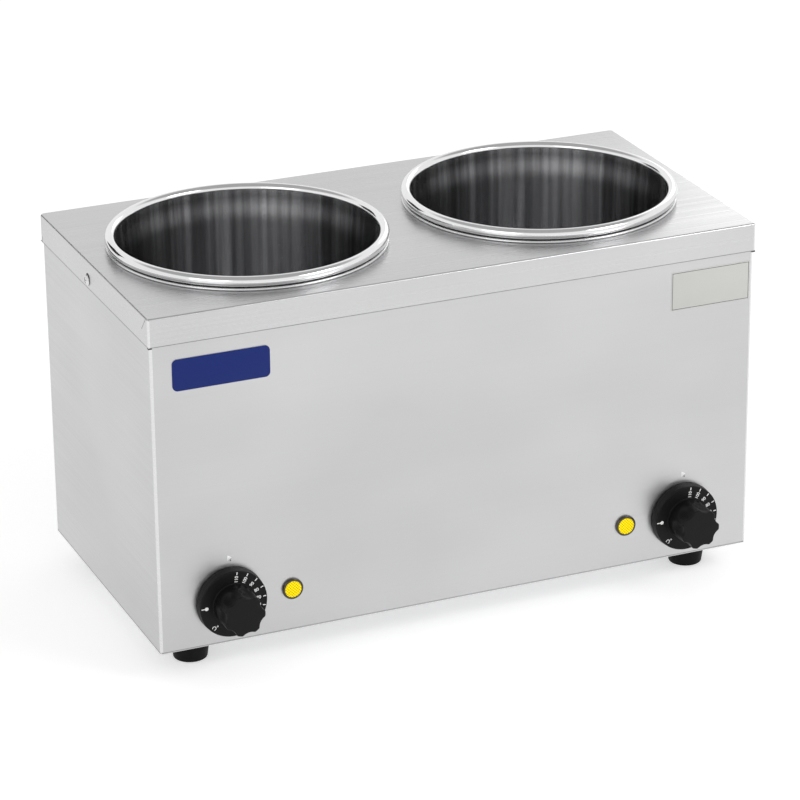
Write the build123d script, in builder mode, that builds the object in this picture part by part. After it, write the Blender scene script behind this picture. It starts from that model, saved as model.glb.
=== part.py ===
"""Two-pot soup warmer: a folded stainless casing with two round water wells, a lift-out
soup pot in each, and for each well a thermostat knob, a pilot lamp and a heating element.

Millimetres. +Z is up, the front with the knobs faces -Y, and X runs across the front.
The origin is on the surface that the feet stand on, at the middle of the overall box.
"""
import math
import os

from build123d import *

os.makedirs("parts", exist_ok=True)

# Casing, folded from stainless sheet round the two pots
side_margin = 16.9          # cover beyond the pot's rim at either side
front_margin = 17.4         # cover beyond the pot's rim at the front and at the back
base_room = 50.0            # from the casing's lower edge to the floor of the wells
sheet = 1.0                 # thickness of every casing sheet
shell_corner = 2.6          # outside radius of the shell's upright bends
edge_radius = 1.6           # outside radius of the cover's top edges
cover_skirt = 22.5          # depth of the cover's rim over the shell
lap_gap = 0.25              # air between two sheets that lap
edge_flange = 12.0          # inward flange along the open edges of the shell
panel_flange = 14.0         # inward flange at the top and bottom of the back panel
flange_gap = 0.5            # air between the back panel's flanges and the shell's
tray_wall = 10.0            # upturned edge of the base tray
tray_gap = 0.6              # air round the base tray
vent_length = 28.0
vent_width = 4.0
vent_pitch = 12.0
vent_count = 6
vent_group_pitch = 110.0    # between the two groups of vents

# Feet
foot_height = 24.2
foot_top_radius = 16.5
foot_bottom_radius = 13.2
foot_edge_round = 1.2
foot_inset_front = 36.0     # foot axis from the front of the casing, and from its back
foot_inset_side = 37.0
foot_recess_radius = 6.5    # pocket under the foot for the screw head
foot_recess_depth = 12.0

# Soup pots
pot_rim_radius = 109.6      # outside of the rolled rim
pot_spacing = 27.8          # between the two rims
bead_radius = 4.1           # outside radius of the roll
pot_wall = 0.8
pot_height = 200.0
pot_corner = 16.0           # inside radius between the wall and the floor
neck_height = 13.0          # from the top of the roll down to the stacking step
neck_step = 1.6             # how far the wall steps in below the neck
neck_slope = 3.0            # height over which it steps in
curl_end_angle = 310.0      # where the roll's edge stops, from the inside of the rim over the top
pot_seat_gap = 0.3          # air between the roll and the well's lip

# Water wells
well_clearance = 1.8        # air between the pot's neck and the well
well_wall = 0.8
well_corner = 10.0
lip_thickness = 2.0         # the well's edge, folded flat on itself
lip_setback = 0.3           # lip inside the pot's rim
cover_hole_gap = 0.5

# Controls on the front
row_height = 34.8           # knob and lamp axes above the casing's lower edge
knob_inset = 58.3           # knob axis from the side of the casing
lamp_offset = 50.5          # lamp axis from its knob's axis, towards the middle
knob_radius = 27.5
knob_draft = 0.5            # how much smaller the skirt is at its face
knob_gap = 0.8              # skirt clear of the panel
skirt_depth = 7.2
skirt_wall = 2.2
skirt_edge_round = 0.7
grip_radius = 16.6
grip_depth = 24.0
grip_edge_round = 1.0
lobe_count = 7
lobe_phase = 49.0           # degrees from +X to the first lobe, seen from the front
flute_radius = 9.0
flute_depth = 2.3
flute_start = 5.0           # plain collar between the skirt and the flutes
hub_radius = 8.0
knob_bore_end = 8.0         # solid front of the grip over the shaft
shaft_radius = 3.0
shaft_flat = 2.4            # from the axis to the flat of the shaft
shaft_fit = 0.05            # radial running fit in the thermostat and in the knob
shaft_flat_length = 16.0
shaft_in_body = 14.0        # shaft inside the thermostat's bearing
shaft_hole_radius = 6.0

# Thermostat behind each knob
plate_width = 42.0
plate_height = 30.0
plate_thickness = 1.5
thermostat_width = 36.0
thermostat_height = 32.0
thermostat_depth = 30.0
thermostat_round = 2.0
fixing_inset = 7.0          # screw axis from the end of the plate
fixing_radius = 2.0
fixing_head_radius = 3.8
fixing_head_height = 2.2
hole_play = 0.3             # radial play of a screw in a plain hole
blade_width = 6.3
blade_thickness = 0.8
blade_length = 9.0
blade_pitch = 11.2
blade_inset = 6.0           # blades above the lower face of the case

# Temperature sensor of each thermostat
bulb_radius = 3.1
bulb_length = 76.0
bulb_bottom = 40.0          # above the well's floor
bulb_bearing = 35.0         # degrees from the well's outward X towards the front
bulb_end_round = 1.8
capillary_radius = 0.9
capillary_bend = 9.0
sleeve_wall = 0.8
sleeve_fit = 0.2
sleeve_length = 52.0
weld_gap = 0.1              # between the sleeve and the wall that it is welded to

# Heating element in each well
element_radius = 4.0
element_ring_inset = 38.0   # ring axis from the wall of the well
element_lift = 16.0         # ring axis above the well's floor
element_pot_gap = 12.5      # water between the ring and the pot above it
element_bend = 12.0
element_gap_angle = 46.0    # between the two ends of the ring
element_drop = 22.0         # legs below the well's floor
element_pin_radius = 1.6
element_pin_length = 8.0
element_hole_play = 0.2
seal_radius = 8.0
seal_thickness = 2.0
seal_fit = 0.05
element_nut_flats = 15.0
element_nut_height = 6.0

# Pilot lamps
lamp_flange_radius = 8.5
lamp_flange_depth = 2.2
lamp_flange_round = 0.9
lamp_lens_radius = 6.6
lamp_lens_rise = 0.7        # how far the lens stands out of its rim
lamp_lens_round = 0.6
lamp_lens_seat = 0.8        # rim left behind the lens
lamp_lens_fit = 0.05
lamp_barrel_radius = 6.2
lamp_barrel_wall = 0.9
lamp_barrel_length = 20.0
lamp_hole_play = 0.2
lamp_nut_radius = 9.5
lamp_nut_height = 3.5
lamp_nut_play = 0.1
lamp_nut_notch = 1.4        # radius of the grips cut into its edge
neon_radius = 3.2
neon_length = 12.0
neon_base_depth = 4.0
neon_blade_pitch = 5.0

# Cord gland and mains terminals
gland_reach = 20.0          # behind the back panel
gland_inset = 70.0          # gland axis from the right side of the casing
gland_height = 45.0         # above the casing's lower edge
gland_bore_radius = 4.0
gland_thread_radius = 8.0
gland_body_flats = 22.0
gland_body_depth = 7.0
gland_cap_radius = 10.5
gland_cap_round = 4.2
gland_inside = 11.0         # thread inside the casing
gland_nut_flats = 21.0
gland_nut_height = 4.0
terminal_offset = 70.0      # terminal block from the gland, towards the middle
terminal_inset = 42.0       # ahead of the back panel
terminal_poles = 3
terminal_pole_pitch = 12.0
terminal_pole_gap = 2.4     # slot between two poles
terminal_depth = 22.0
terminal_height = 17.0
terminal_base = 4.0
terminal_screw_radius = 2.4
terminal_screw_depth = 5.6
terminal_screw_rise = 0.8
terminal_slot_width = 0.7
terminal_wire_radius = 2.2
earth_offset = 50.0         # earth stud from the terminal block
earth_radius = 2.5
earth_length = 18.0

# Fasteners
cover_screw_radius = 2.5
cover_head_radius = 4.5
cover_head_height = 2.4
cover_screw_drop = 15.8     # below the top of the cover
cover_screw_back = 10.0     # behind the middle of the casing
panel_screw_radius = 2.0
panel_head_radius = 3.6
panel_head_height = 2.0
panel_screw_inset = 6.0     # from the casing's side
panel_screw_margin = 34.0   # from the casing's top and bottom
base_screw_inset = 6.0      # from the shell's face
base_screw_margin = 100.0   # from the corner, along the front
base_side_margin = 67.0     # from the corner, along the sides
foot_screw_radius = 2.5
foot_head_radius = 4.6
foot_head_height = 3.4
nut_flats = 8.0
nut_height = 4.0
thread_end = 1.5            # screw beyond its nut
screw_past = 4.0            # self-tapping screw beyond the sheets that it joins
head_edge_share = 0.35      # straight edge of a domed head, as a share of its height

# Heights: the well is as deep as its pot and the ring below it need
pot_seat = lip_thickness + pot_seat_gap
well_depth = pot_height + element_pot_gap + element_radius + element_lift - pot_seat - 2 * bead_radius
body_height = well_depth + base_room
casing_bottom = foot_height - sheet
tray_floor = casing_bottom + 2 * sheet
cover_top = casing_bottom + body_height
cover_under = cover_top - sheet
shell_height = cover_under - casing_bottom
lip_top = cover_top + lip_thickness
bead_z = cover_top + pot_seat + bead_radius
rim_top = bead_z + bead_radius
well_floor = cover_top - well_depth
well_under = well_floor - well_wall
element_z = well_floor + element_lift
row_z = casing_bottom + row_height
gland_z = casing_bottom + gland_height
cover_screw_z = cover_top - cover_screw_drop

# Places across the casing: the overall box runs from the grips to the end of the gland
pot_pitch = 2 * pot_rim_radius + pot_spacing
body_width = pot_pitch + 2 * (pot_rim_radius + side_margin)
body_depth = 2 * (pot_rim_radius + front_margin)
shell_width = body_width - 2 * (sheet + lap_gap)
shell_depth = body_depth - 2 * (sheet + lap_gap)
knob_reach = knob_gap + skirt_depth + grip_depth
face_y = (knob_reach - gland_reach - shell_depth) / 2
back_y = face_y + shell_depth
centre_y = (face_y + back_y) / 2
wrap_depth = shell_depth - sheet
wrap_y = face_y + wrap_depth / 2
inner_face_y = face_y + sheet
side_x = shell_width / 2
cover_corner = shell_corner + sheet + lap_gap
knob_pitch = body_width - 2 * knob_inset
fixing_pitch = plate_width - 2 * fixing_inset
gland_x = body_width / 2 - gland_inset
terminal_x = gland_x - terminal_offset
earth_x = terminal_x - earth_offset

# Radii round each pot's axis
neck_radius = pot_rim_radius - 2 * bead_radius
pot_radius = neck_radius - neck_step
well_radius = neck_radius + pot_wall + well_clearance
well_outside = well_radius + well_wall
lip_radius = pot_rim_radius - lip_setback
element_ring_radius = well_radius - element_ring_inset

foot_x = body_width / 2 - foot_inset_side
foot_y = body_depth / 2 - foot_inset_front
foot_places = [(x, centre_y + y) for x in (-foot_x, foot_x) for y in (-foot_y, foot_y)]
sides = [("left", -1), ("right", 1)]
front_plane = Plane.XZ.offset(-face_y)
back_plane = Plane.XZ.offset(-back_y)

panel_screw_x = side_x - panel_screw_inset
panel_screw_heights = [casing_bottom + panel_screw_margin, cover_top - panel_screw_margin]
panel_screw_places = [(x, z) for x in (-panel_screw_x, panel_screw_x) for z in panel_screw_heights]
base_front_y = face_y + base_screw_inset
base_front_x = body_width / 2 - base_screw_margin
base_side_x = side_x - base_screw_inset
base_side_y = body_depth / 2 - base_side_margin
base_screw_places = [(x, base_front_y) for x in (-base_front_x, base_front_x)]
base_screw_places += [
    (x, centre_y + y)
    for x in (-base_side_x, base_side_x)
    for y in (-base_side_y, base_side_y)
]


def screw(seat, head_radius, head_height, shank_radius, shank_length):
    """Domed head on a seat plane that faces out of the sheet, with its shank going in."""
    with BuildPart() as fastener:
        with BuildSketch(Plane(origin=seat.origin, x_dir=seat.x_dir, z_dir=-seat.y_dir)):
            with BuildLine():
                edge_height = head_edge_share * head_height
                Polyline((0, head_height), (0, 0), (head_radius, 0), (head_radius, edge_height))
                TangentArc((0, head_height), (head_radius, edge_height), tangent=(1, 0))
            make_face()
        revolve(axis=Axis(seat.origin, seat.z_dir))
        with BuildSketch(seat):
            Circle(shank_radius)
        extrude(amount=-shank_length)
    return fastener.part


# Shell: front and both sides folded from one sheet, open at the top, bottom and back
# inside narrow flanges
with BuildPart() as body_shell:
    with BuildSketch(Plane.XY.offset(casing_bottom)):
        with Locations((0, wrap_y)):
            RectangleRounded(shell_width, wrap_depth, shell_corner)
    extrude(amount=shell_height)
    with BuildSketch(Plane.XY.offset(casing_bottom + sheet)):
        with Locations((0, wrap_y)):
            RectangleRounded(shell_width - 2 * sheet, wrap_depth - 2 * sheet, shell_corner - sheet)
    extrude(amount=shell_height - 2 * sheet, mode=Mode.SUBTRACT)
    with BuildSketch(Plane.XY.offset(casing_bottom)):
        with Locations((0, face_y + edge_flange)):
            Rectangle(shell_width - 2 * edge_flange, shell_depth, align=(Align.CENTER, Align.MIN))
    extrude(amount=shell_height, mode=Mode.SUBTRACT)
    with BuildSketch(front_plane):
        for side, sign in sides:
            knob_x = sign * knob_pitch / 2
            with Locations((knob_x, row_z)):
                Circle(shaft_hole_radius)
            with Locations((knob_x - fixing_pitch / 2, row_z), (knob_x + fixing_pitch / 2, row_z)):
                Circle(fixing_radius + hole_play)
            with Locations((knob_x - sign * lamp_offset, row_z)):
                Circle(lamp_barrel_radius + lamp_hole_play)
    extrude(amount=-2 * sheet, mode=Mode.SUBTRACT)
    with BuildSketch(Plane.YZ):
        with Locations((centre_y + cover_screw_back, cover_screw_z)):
            Circle(cover_screw_radius + hole_play)
    extrude(amount=body_width, both=True, mode=Mode.SUBTRACT)
    with BuildSketch(back_plane):
        with Locations(*panel_screw_places):
            Circle(panel_screw_radius + hole_play)
    extrude(amount=3 * sheet, mode=Mode.SUBTRACT)
    with BuildSketch(Plane.XY.offset(casing_bottom)):
        with Locations(*base_screw_places):
            Circle(panel_screw_radius + hole_play)
    extrude(amount=2 * sheet, mode=Mode.SUBTRACT)
body_shell.part.label = "body_shell"
export_step(body_shell.part, "parts/body_shell.step")

# Back panel: screwed to the shell's rear flanges, with a flange of its own top and bottom
panel_width = shell_width - 2 * shell_corner
panel_flange_width = shell_width - 2 * (edge_flange + flange_gap)
with BuildPart() as back_panel:
    with BuildSketch(back_plane):
        with Locations((0, casing_bottom)):
            Rectangle(panel_width, shell_height, align=(Align.CENTER, Align.MIN))
    extrude(amount=sheet)
    with BuildSketch(back_plane):
        with Locations((0, casing_bottom)):
            Rectangle(panel_flange_width, sheet, align=(Align.CENTER, Align.MIN))
        with Locations((0, cover_under)):
            Rectangle(panel_flange_width, sheet, align=(Align.CENTER, Align.MAX))
    extrude(amount=panel_flange)
    with BuildSketch(back_plane):
        with Locations(*panel_screw_places):
            Circle(panel_screw_radius + hole_play)
        with Locations((gland_x, gland_z)):
            Circle(gland_thread_radius + hole_play)
    extrude(amount=2 * sheet, mode=Mode.SUBTRACT)
back_panel.part.label = "back_panel"
export_step(back_panel.part, "parts/back_panel.step")

# Base tray: lies on the shell's lower flanges and carries the feet
with BuildPart() as base_tray:
    with BuildSketch(Plane.XY.offset(casing_bottom + sheet)):
        with Locations((0, wrap_y)):
            RectangleRounded(
                shell_width - 2 * (sheet + tray_gap), wrap_depth - 2 * (sheet + tray_gap), shell_corner
            )
    extrude(amount=tray_wall)
    with BuildSketch(Plane.XY.offset(tray_floor)):
        with Locations((0, wrap_y)):
            RectangleRounded(
                shell_width - 2 * (2 * sheet + tray_gap),
                wrap_depth - 2 * (2 * sheet + tray_gap),
                shell_corner - sheet,
            )
    extrude(amount=tray_wall, mode=Mode.SUBTRACT)
    with BuildSketch(Plane.XY.offset(casing_bottom)):
        with Locations(*foot_places):
            Circle(foot_screw_radius + hole_play)
        with Locations(*base_screw_places):
            Circle(panel_screw_radius + hole_play)
        for sign in (-1, 1):
            with Locations((sign * vent_group_pitch / 2, centre_y)):
                with GridLocations(1, vent_pitch, 1, vent_count):
                    SlotOverall(vent_length, vent_width)
    extrude(amount=3 * sheet, mode=Mode.SUBTRACT)
base_tray.part.label = "base_tray"
export_step(base_tray.part, "parts/base_tray.step")

# Top cover: a shallow lid with a skirt all round and a hole for each well
with BuildPart() as top_cover:
    with BuildSketch(Plane.XY.offset(cover_top - cover_skirt)):
        with Locations((0, centre_y)):
            RectangleRounded(body_width, body_depth, cover_corner)
    extrude(amount=cover_skirt)
    fillet(top_cover.faces().sort_by(Axis.Z)[-1].outer_wire().edges(), edge_radius)
    with BuildSketch(Plane.XY.offset(cover_top - cover_skirt)):
        with Locations((0, centre_y)):
            RectangleRounded(body_width - 2 * sheet, body_depth - 2 * sheet, cover_corner - sheet)
    extrude(amount=cover_skirt - sheet, mode=Mode.SUBTRACT)
    with BuildSketch(Plane.XY.offset(cover_under)):
        with Locations((-pot_pitch / 2, centre_y), (pot_pitch / 2, centre_y)):
            Circle(well_outside + cover_hole_gap)
    extrude(amount=2 * sheet, mode=Mode.SUBTRACT)
    with BuildSketch(Plane.YZ):
        with Locations((centre_y + cover_screw_back, cover_screw_z)):
            Circle(cover_screw_radius + hole_play)
    extrude(amount=body_width, both=True, mode=Mode.SUBTRACT)
top_cover.part.label = "top_cover"
export_step(top_cover.part, "parts/top_cover.step")

# Wells, pots, heating elements and sensors, one set on each side
ring_end = math.radians(element_gap_angle / 2)
ring_end_x = element_ring_radius * math.sin(ring_end)
ring_end_y = -element_ring_radius * math.cos(ring_end)
leg_x = ring_end_x - element_bend * math.cos(ring_end)
leg_y = ring_end_y - element_bend * math.sin(ring_end)
bend_45 = math.sqrt(0.5)


def element_path(axis_x):
    """Centre line: up the right leg, round the ring and down the left leg."""
    low = element_z - element_bend
    foot = well_floor - element_drop
    halfway = element_bend * bend_45

    def point(sign, x, y, z):
        return (axis_x + sign * x, centre_y + y, z)

    middle_x = ring_end_x - halfway * math.cos(ring_end)
    middle_y = ring_end_y - halfway * math.sin(ring_end)
    Line(point(1, leg_x, leg_y, foot), point(1, leg_x, leg_y, low))
    ThreePointArc(
        point(1, leg_x, leg_y, low),
        point(1, middle_x, middle_y, low + halfway),
        point(1, ring_end_x, ring_end_y, element_z),
    )
    ThreePointArc(
        point(1, ring_end_x, ring_end_y, element_z),
        (axis_x, centre_y + element_ring_radius, element_z),
        point(-1, ring_end_x, ring_end_y, element_z),
    )
    ThreePointArc(
        point(-1, ring_end_x, ring_end_y, element_z),
        point(-1, middle_x, middle_y, low + halfway),
        point(-1, leg_x, leg_y, low),
    )
    Line(point(-1, leg_x, leg_y, low), point(-1, leg_x, leg_y, foot))


for side, sign in sides:
    axis_x = sign * pot_pitch / 2
    pot_plane = Plane.XZ.offset(-centre_y)
    pot_axis = Axis((axis_x, centre_y, 0), (0, 0, 1))
    leg_places = [(axis_x - leg_x, centre_y + leg_y), (axis_x + leg_x, centre_y + leg_y)]
    bearing = math.radians(bulb_bearing)
    sleeve_outside = bulb_radius + sleeve_fit + sleeve_wall
    bulb_reach = well_outside + weld_gap + sleeve_outside
    bulb_x = axis_x + sign * bulb_reach * math.cos(bearing)
    bulb_y = centre_y - bulb_reach * math.sin(bearing)

    # Water well: drawn cup whose folded lip lies on the cover
    with BuildPart() as well:
        with BuildSketch(pot_plane):
            with BuildLine():
                corner_outside = well_corner + well_wall
                Line((axis_x, well_under), (axis_x + well_outside - corner_outside, well_under))
                RadiusArc(
                    (axis_x + well_outside - corner_outside, well_under),
                    (axis_x + well_outside, well_under + corner_outside),
                    -corner_outside,
                )
                Line((axis_x + well_outside, well_under + corner_outside), (axis_x + well_outside, cover_top))
                lip_end = axis_x + lip_radius - lip_thickness / 2
                Line((axis_x + well_outside, cover_top), (lip_end, cover_top))
                ThreePointArc(
                    (lip_end, cover_top),
                    (lip_end + lip_thickness / 2, cover_top + lip_thickness / 2),
                    (lip_end, lip_top),
                )
                Line((lip_end, lip_top), (axis_x + well_radius, lip_top))
                Line((axis_x + well_radius, lip_top), (axis_x + well_radius, well_floor + well_corner))
                RadiusArc(
                    (axis_x + well_radius, well_floor + well_corner),
                    (axis_x + well_radius - well_corner, well_floor),
                    well_corner,
                )
                Line((axis_x + well_radius - well_corner, well_floor), (axis_x, well_floor))
                Line((axis_x, well_floor), (axis_x, well_under))
            make_face()
        revolve(axis=pot_axis)
        with BuildSketch(Plane.XY.offset(well_under)):
            with Locations(*leg_places):
                Circle(element_radius + element_hole_play)
        extrude(amount=2 * well_wall, mode=Mode.SUBTRACT)
    well.part.label = side + "_well"
    export_step(well.part, "parts/" + side + "_well.step")

    # Soup pot: rolled rim, short neck, stacking step, straight wall and rounded floor
    with BuildPart() as pot:
        with BuildSketch(pot_plane):
            with BuildLine():
                bead_x = axis_x + neck_radius + bead_radius
                pot_floor = rim_top - pot_height + pot_wall
                step_z = rim_top - neck_height
                curl_inside = bead_radius - pot_wall
                inner_x = axis_x + pot_radius
                outer_x = inner_x + pot_wall
                neck_in = axis_x + neck_radius
                neck_out = neck_in + pot_wall
                CenterArc((bead_x, bead_z), bead_radius, 180, -curl_end_angle)
                CenterArc((bead_x, bead_z), curl_inside, 180, -curl_end_angle)
                end = math.radians(180 - curl_end_angle)
                Line(
                    (bead_x + bead_radius * math.cos(end), bead_z + bead_radius * math.sin(end)),
                    (bead_x + curl_inside * math.cos(end), bead_z + curl_inside * math.sin(end)),
                )
                Polyline((neck_out, bead_z), (neck_out, step_z), (outer_x, step_z - neck_slope),
                         (outer_x, pot_floor + pot_corner))
                RadiusArc(
                    (outer_x, pot_floor + pot_corner),
                    (inner_x - pot_corner, pot_floor - pot_wall),
                    pot_corner + pot_wall,
                )
                Polyline((inner_x - pot_corner, pot_floor - pot_wall), (axis_x, pot_floor - pot_wall),
                         (axis_x, pot_floor), (inner_x - pot_corner, pot_floor))
                RadiusArc((inner_x - pot_corner, pot_floor), (inner_x, pot_floor + pot_corner), -pot_corner)
                Polyline((inner_x, pot_floor + pot_corner), (inner_x, step_z - neck_slope),
                         (neck_in, step_z), (neck_in, bead_z))
            make_face()
        revolve(axis=pot_axis)
    pot.part.label = side + "_pot"
    export_step(pot.part, "parts/" + side + "_pot.step")

    # Heating element: one tube bent into a ring just above the floor, legs through the floor
    with BuildPart() as element:
        with BuildLine() as centre_line:
            element_path(axis_x)
        with BuildSketch(Plane(origin=centre_line.line @ 0, z_dir=centre_line.line % 0)):
            Circle(element_radius)
        sweep()
        with BuildSketch(Plane.XY.offset(well_floor - element_drop)):
            with Locations(*leg_places):
                Circle(element_pin_radius)
        extrude(amount=-element_pin_length)
    element.part.label = side + "_heating_element"
    export_step(element.part, "parts/" + side + "_heating_element.step")

    # Seals on the floor and nuts below it
    with BuildPart() as seals:
        with BuildSketch(Plane.XY.offset(well_floor)):
            with Locations(*leg_places):
                Circle(seal_radius)
                Circle(element_radius + seal_fit, mode=Mode.SUBTRACT)
        extrude(amount=seal_thickness)
    seals.part.label = side + "_element_seals"
    export_step(seals.part, "parts/" + side + "_element_seals.step")
    with BuildPart() as element_nuts:
        with BuildSketch(Plane.XY.offset(well_under)):
            with Locations(*leg_places):
                RegularPolygon(element_nut_flats / 2, 6, major_radius=False)
                Circle(element_radius + seal_fit, mode=Mode.SUBTRACT)
        extrude(amount=-element_nut_height)
    element_nuts.part.label = side + "_element_nuts"
    export_step(element_nuts.part, "parts/" + side + "_element_nuts.step")

    # Sleeve welded to the outside of the well, and the sensor bulb that it holds
    bulb_z = well_floor + bulb_bottom
    with BuildPart() as sleeve:
        with BuildSketch(Plane.XY.offset(bulb_z + (bulb_length - sleeve_length) / 2)):
            with Locations((bulb_x, bulb_y)):
                Circle(sleeve_outside)
                Circle(bulb_radius + sleeve_fit, mode=Mode.SUBTRACT)
        extrude(amount=sleeve_length)
    sleeve.part.label = side + "_sensor_sleeve"
    export_step(sleeve.part, "parts/" + side + "_sensor_sleeve.step")
    knob_x = sign * knob_pitch / 2
    thermostat_back = inner_face_y + plate_thickness + thermostat_depth
    with BuildPart() as sensor:
        with BuildSketch(Plane.XY.offset(bulb_z)):
            with Locations((bulb_x, bulb_y)):
                Circle(bulb_radius)
        extrude(amount=bulb_length)
        fillet(sensor.edges().filter_by(GeomType.CIRCLE), bulb_end_round)
        with BuildLine() as capillary:
            FilletPolyline(
                (bulb_x, bulb_y, bulb_z + bulb_radius),
                (bulb_x, bulb_y, row_z),
                (knob_x, bulb_y, row_z),
                (knob_x, thermostat_back, row_z),
                radius=capillary_bend,
            )
        with BuildSketch(Plane(origin=capillary.line @ 0, z_dir=capillary.line % 0)):
            Circle(capillary_radius)
        sweep()
    sensor.part.label = side + "_sensor"
    export_step(sensor.part, "parts/" + side + "_sensor.step")

# Controls: a thermostat, a knob on its shaft and a pilot lamp for each well
for side, sign in sides:
    knob_x = sign * knob_pitch / 2
    lamp_x = knob_x - sign * lamp_offset
    inside_plane = Plane.XZ.offset(-inner_face_y)
    fixing_places = [(knob_x - fixing_pitch / 2, row_z), (knob_x + fixing_pitch / 2, row_z)]

    # Thermostat: case with a fixing plate against the panel and three blades below
    with BuildPart() as thermostat:
        with BuildSketch(inside_plane):
            with Locations((knob_x, row_z)):
                RectangleRounded(plate_width, plate_height, thermostat_round)
        extrude(amount=-plate_thickness)
        with BuildSketch(inside_plane.offset(-plate_thickness)):
            with Locations((knob_x, row_z)):
                RectangleRounded(thermostat_width, thermostat_height, thermostat_round)
        extrude(amount=-thermostat_depth)
        with BuildSketch(Plane.XZ.offset(-inner_face_y - plate_thickness - thermostat_depth)):
            with Locations((knob_x, row_z - thermostat_height / 2 + blade_inset)):
                with GridLocations(blade_pitch, 1, 3, 1):
                    Rectangle(blade_width, blade_thickness)
        extrude(amount=-blade_length)
        with BuildSketch(inside_plane):
            with Locations((knob_x, row_z)):
                Circle(shaft_radius + shaft_fit)
            with Locations(*fixing_places):
                Circle(fixing_radius + shaft_fit)
        extrude(amount=-shaft_in_body, mode=Mode.SUBTRACT)
    thermostat.part.label = side + "_thermostat"
    export_step(thermostat.part, "parts/" + side + "_thermostat.step")

    # Shaft: round in the thermostat, with a flat where the knob grips it
    shaft_end = knob_reach - knob_bore_end
    with BuildPart() as shaft:
        with BuildSketch(inside_plane.offset(-shaft_in_body + shaft_fit)):
            with Locations((knob_x, row_z)):
                Circle(shaft_radius)
        extrude(amount=shaft_in_body - shaft_fit + sheet + shaft_end)
        with BuildSketch(front_plane.offset(shaft_end - shaft_flat_length)):
            with Locations((knob_x, row_z + shaft_flat)):
                Rectangle(2 * shaft_radius, shaft_radius, align=(Align.CENTER, Align.MIN))
        extrude(amount=shaft_flat_length, mode=Mode.SUBTRACT)
    shaft.part.label = side + "_thermostat_shaft"
    export_step(shaft.part, "parts/" + side + "_thermostat_shaft.step")

    # Knob: dial skirt, hollow behind, and a fluted grip with seven lobes
    skirt_face = knob_gap + skirt_depth
    with BuildPart() as knob:
        with BuildSketch(front_plane.offset(knob_gap)):
            with Locations((knob_x, row_z)):
                Circle(knob_radius)
        extrude(amount=skirt_depth, taper=math.degrees(math.atan(knob_draft / skirt_depth)))
        fillet(knob.edges().filter_by(GeomType.CIRCLE).sort_by(Axis.Y)[0], skirt_edge_round)
        with BuildSketch(front_plane.offset(knob_gap)):
            with Locations((knob_x, row_z)):
                Circle(knob_radius - knob_draft - skirt_wall)
                Circle(hub_radius, mode=Mode.SUBTRACT)
        extrude(amount=skirt_depth - skirt_wall, mode=Mode.SUBTRACT)
        with BuildSketch(front_plane.offset(skirt_face)):
            with Locations((knob_x, row_z)):
                Circle(grip_radius)
        extrude(amount=grip_depth)
        fillet(knob.edges().filter_by(GeomType.CIRCLE).sort_by(Axis.Y)[0], grip_edge_round)
        with BuildSketch(front_plane.offset(skirt_face + flute_start + flute_radius)):
            with Locations((knob_x, row_z)):
                with PolarLocations(
                    grip_radius - flute_depth + flute_radius, lobe_count, lobe_phase + 180 / lobe_count
                ):
                    Circle(flute_radius)
        extrude(amount=grip_depth, mode=Mode.SUBTRACT)
        with Locations(front_plane.offset(skirt_face + flute_start + flute_radius)):
            with Locations((knob_x, row_z)):
                with PolarLocations(
                    grip_radius - flute_depth + flute_radius, lobe_count, lobe_phase + 180 / lobe_count
                ):
                    Sphere(flute_radius, mode=Mode.SUBTRACT)
        with BuildSketch(front_plane.offset(knob_gap)):
            with Locations((knob_x, row_z)):
                Circle(shaft_radius + shaft_fit)
            with Locations((knob_x, row_z + shaft_flat + shaft_fit)):
                Rectangle(
                    3 * shaft_radius, shaft_radius, align=(Align.CENTER, Align.MIN), mode=Mode.SUBTRACT
                )
        extrude(amount=shaft_end - knob_gap + shaft_fit, mode=Mode.SUBTRACT)
        with BuildSketch(front_plane.offset(knob_gap)):
            with Locations((knob_x, row_z)):
                Circle(shaft_radius + shaft_fit)
        extrude(amount=shaft_end - shaft_flat_length - knob_gap + shaft_fit, mode=Mode.SUBTRACT)
    knob.part.label = side + "_knob"
    export_step(knob.part, "parts/" + side + "_knob.step")

    # Pilot lamp: rim and barrel, lens, neon lamp on its base, and the nut behind the panel
    lens_bore = lamp_lens_radius + lamp_lens_fit
    barrel_inside = lamp_barrel_radius - lamp_barrel_wall
    with BuildPart() as bezel:
        with BuildSketch(front_plane):
            with Locations((lamp_x, row_z)):
                Circle(lamp_flange_radius)
        extrude(amount=lamp_flange_depth)
        fillet(bezel.edges().filter_by(GeomType.CIRCLE).sort_by(Axis.Y)[0], lamp_flange_round)
        with BuildSketch(front_plane):
            with Locations((lamp_x, row_z)):
                Circle(lamp_barrel_radius)
        extrude(amount=-lamp_barrel_length)
        with BuildSketch(front_plane.offset(lamp_flange_depth)):
            with Locations((lamp_x, row_z)):
                Circle(barrel_inside)
        extrude(amount=-lamp_flange_depth - lamp_barrel_length, mode=Mode.SUBTRACT)
        with BuildSketch(front_plane.offset(lamp_lens_seat)):
            with Locations((lamp_x, row_z)):
                Circle(lens_bore)
        extrude(amount=lamp_flange_depth, mode=Mode.SUBTRACT)
    bezel.part.label = side + "_lamp_rim"
    export_step(bezel.part, "parts/" + side + "_lamp_rim.step")
    with BuildPart() as lens:
        with BuildSketch(front_plane.offset(lamp_lens_seat)):
            with Locations((lamp_x, row_z)):
                Circle(lamp_lens_radius)
        extrude(amount=lamp_flange_depth - lamp_lens_seat + lamp_lens_rise)
        fillet(lens.edges().filter_by(GeomType.CIRCLE).sort_by(Axis.Y)[0], lamp_lens_round)
    lens.part.label = side + "_lamp_lens"
    export_step(lens.part, "parts/" + side + "_lamp_lens.step")
    with BuildPart() as neon:
        with BuildSketch(front_plane.offset(-lamp_barrel_length)):
            with Locations((lamp_x, row_z)):
                Circle(lamp_barrel_radius)
        extrude(amount=-neon_base_depth)
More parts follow.
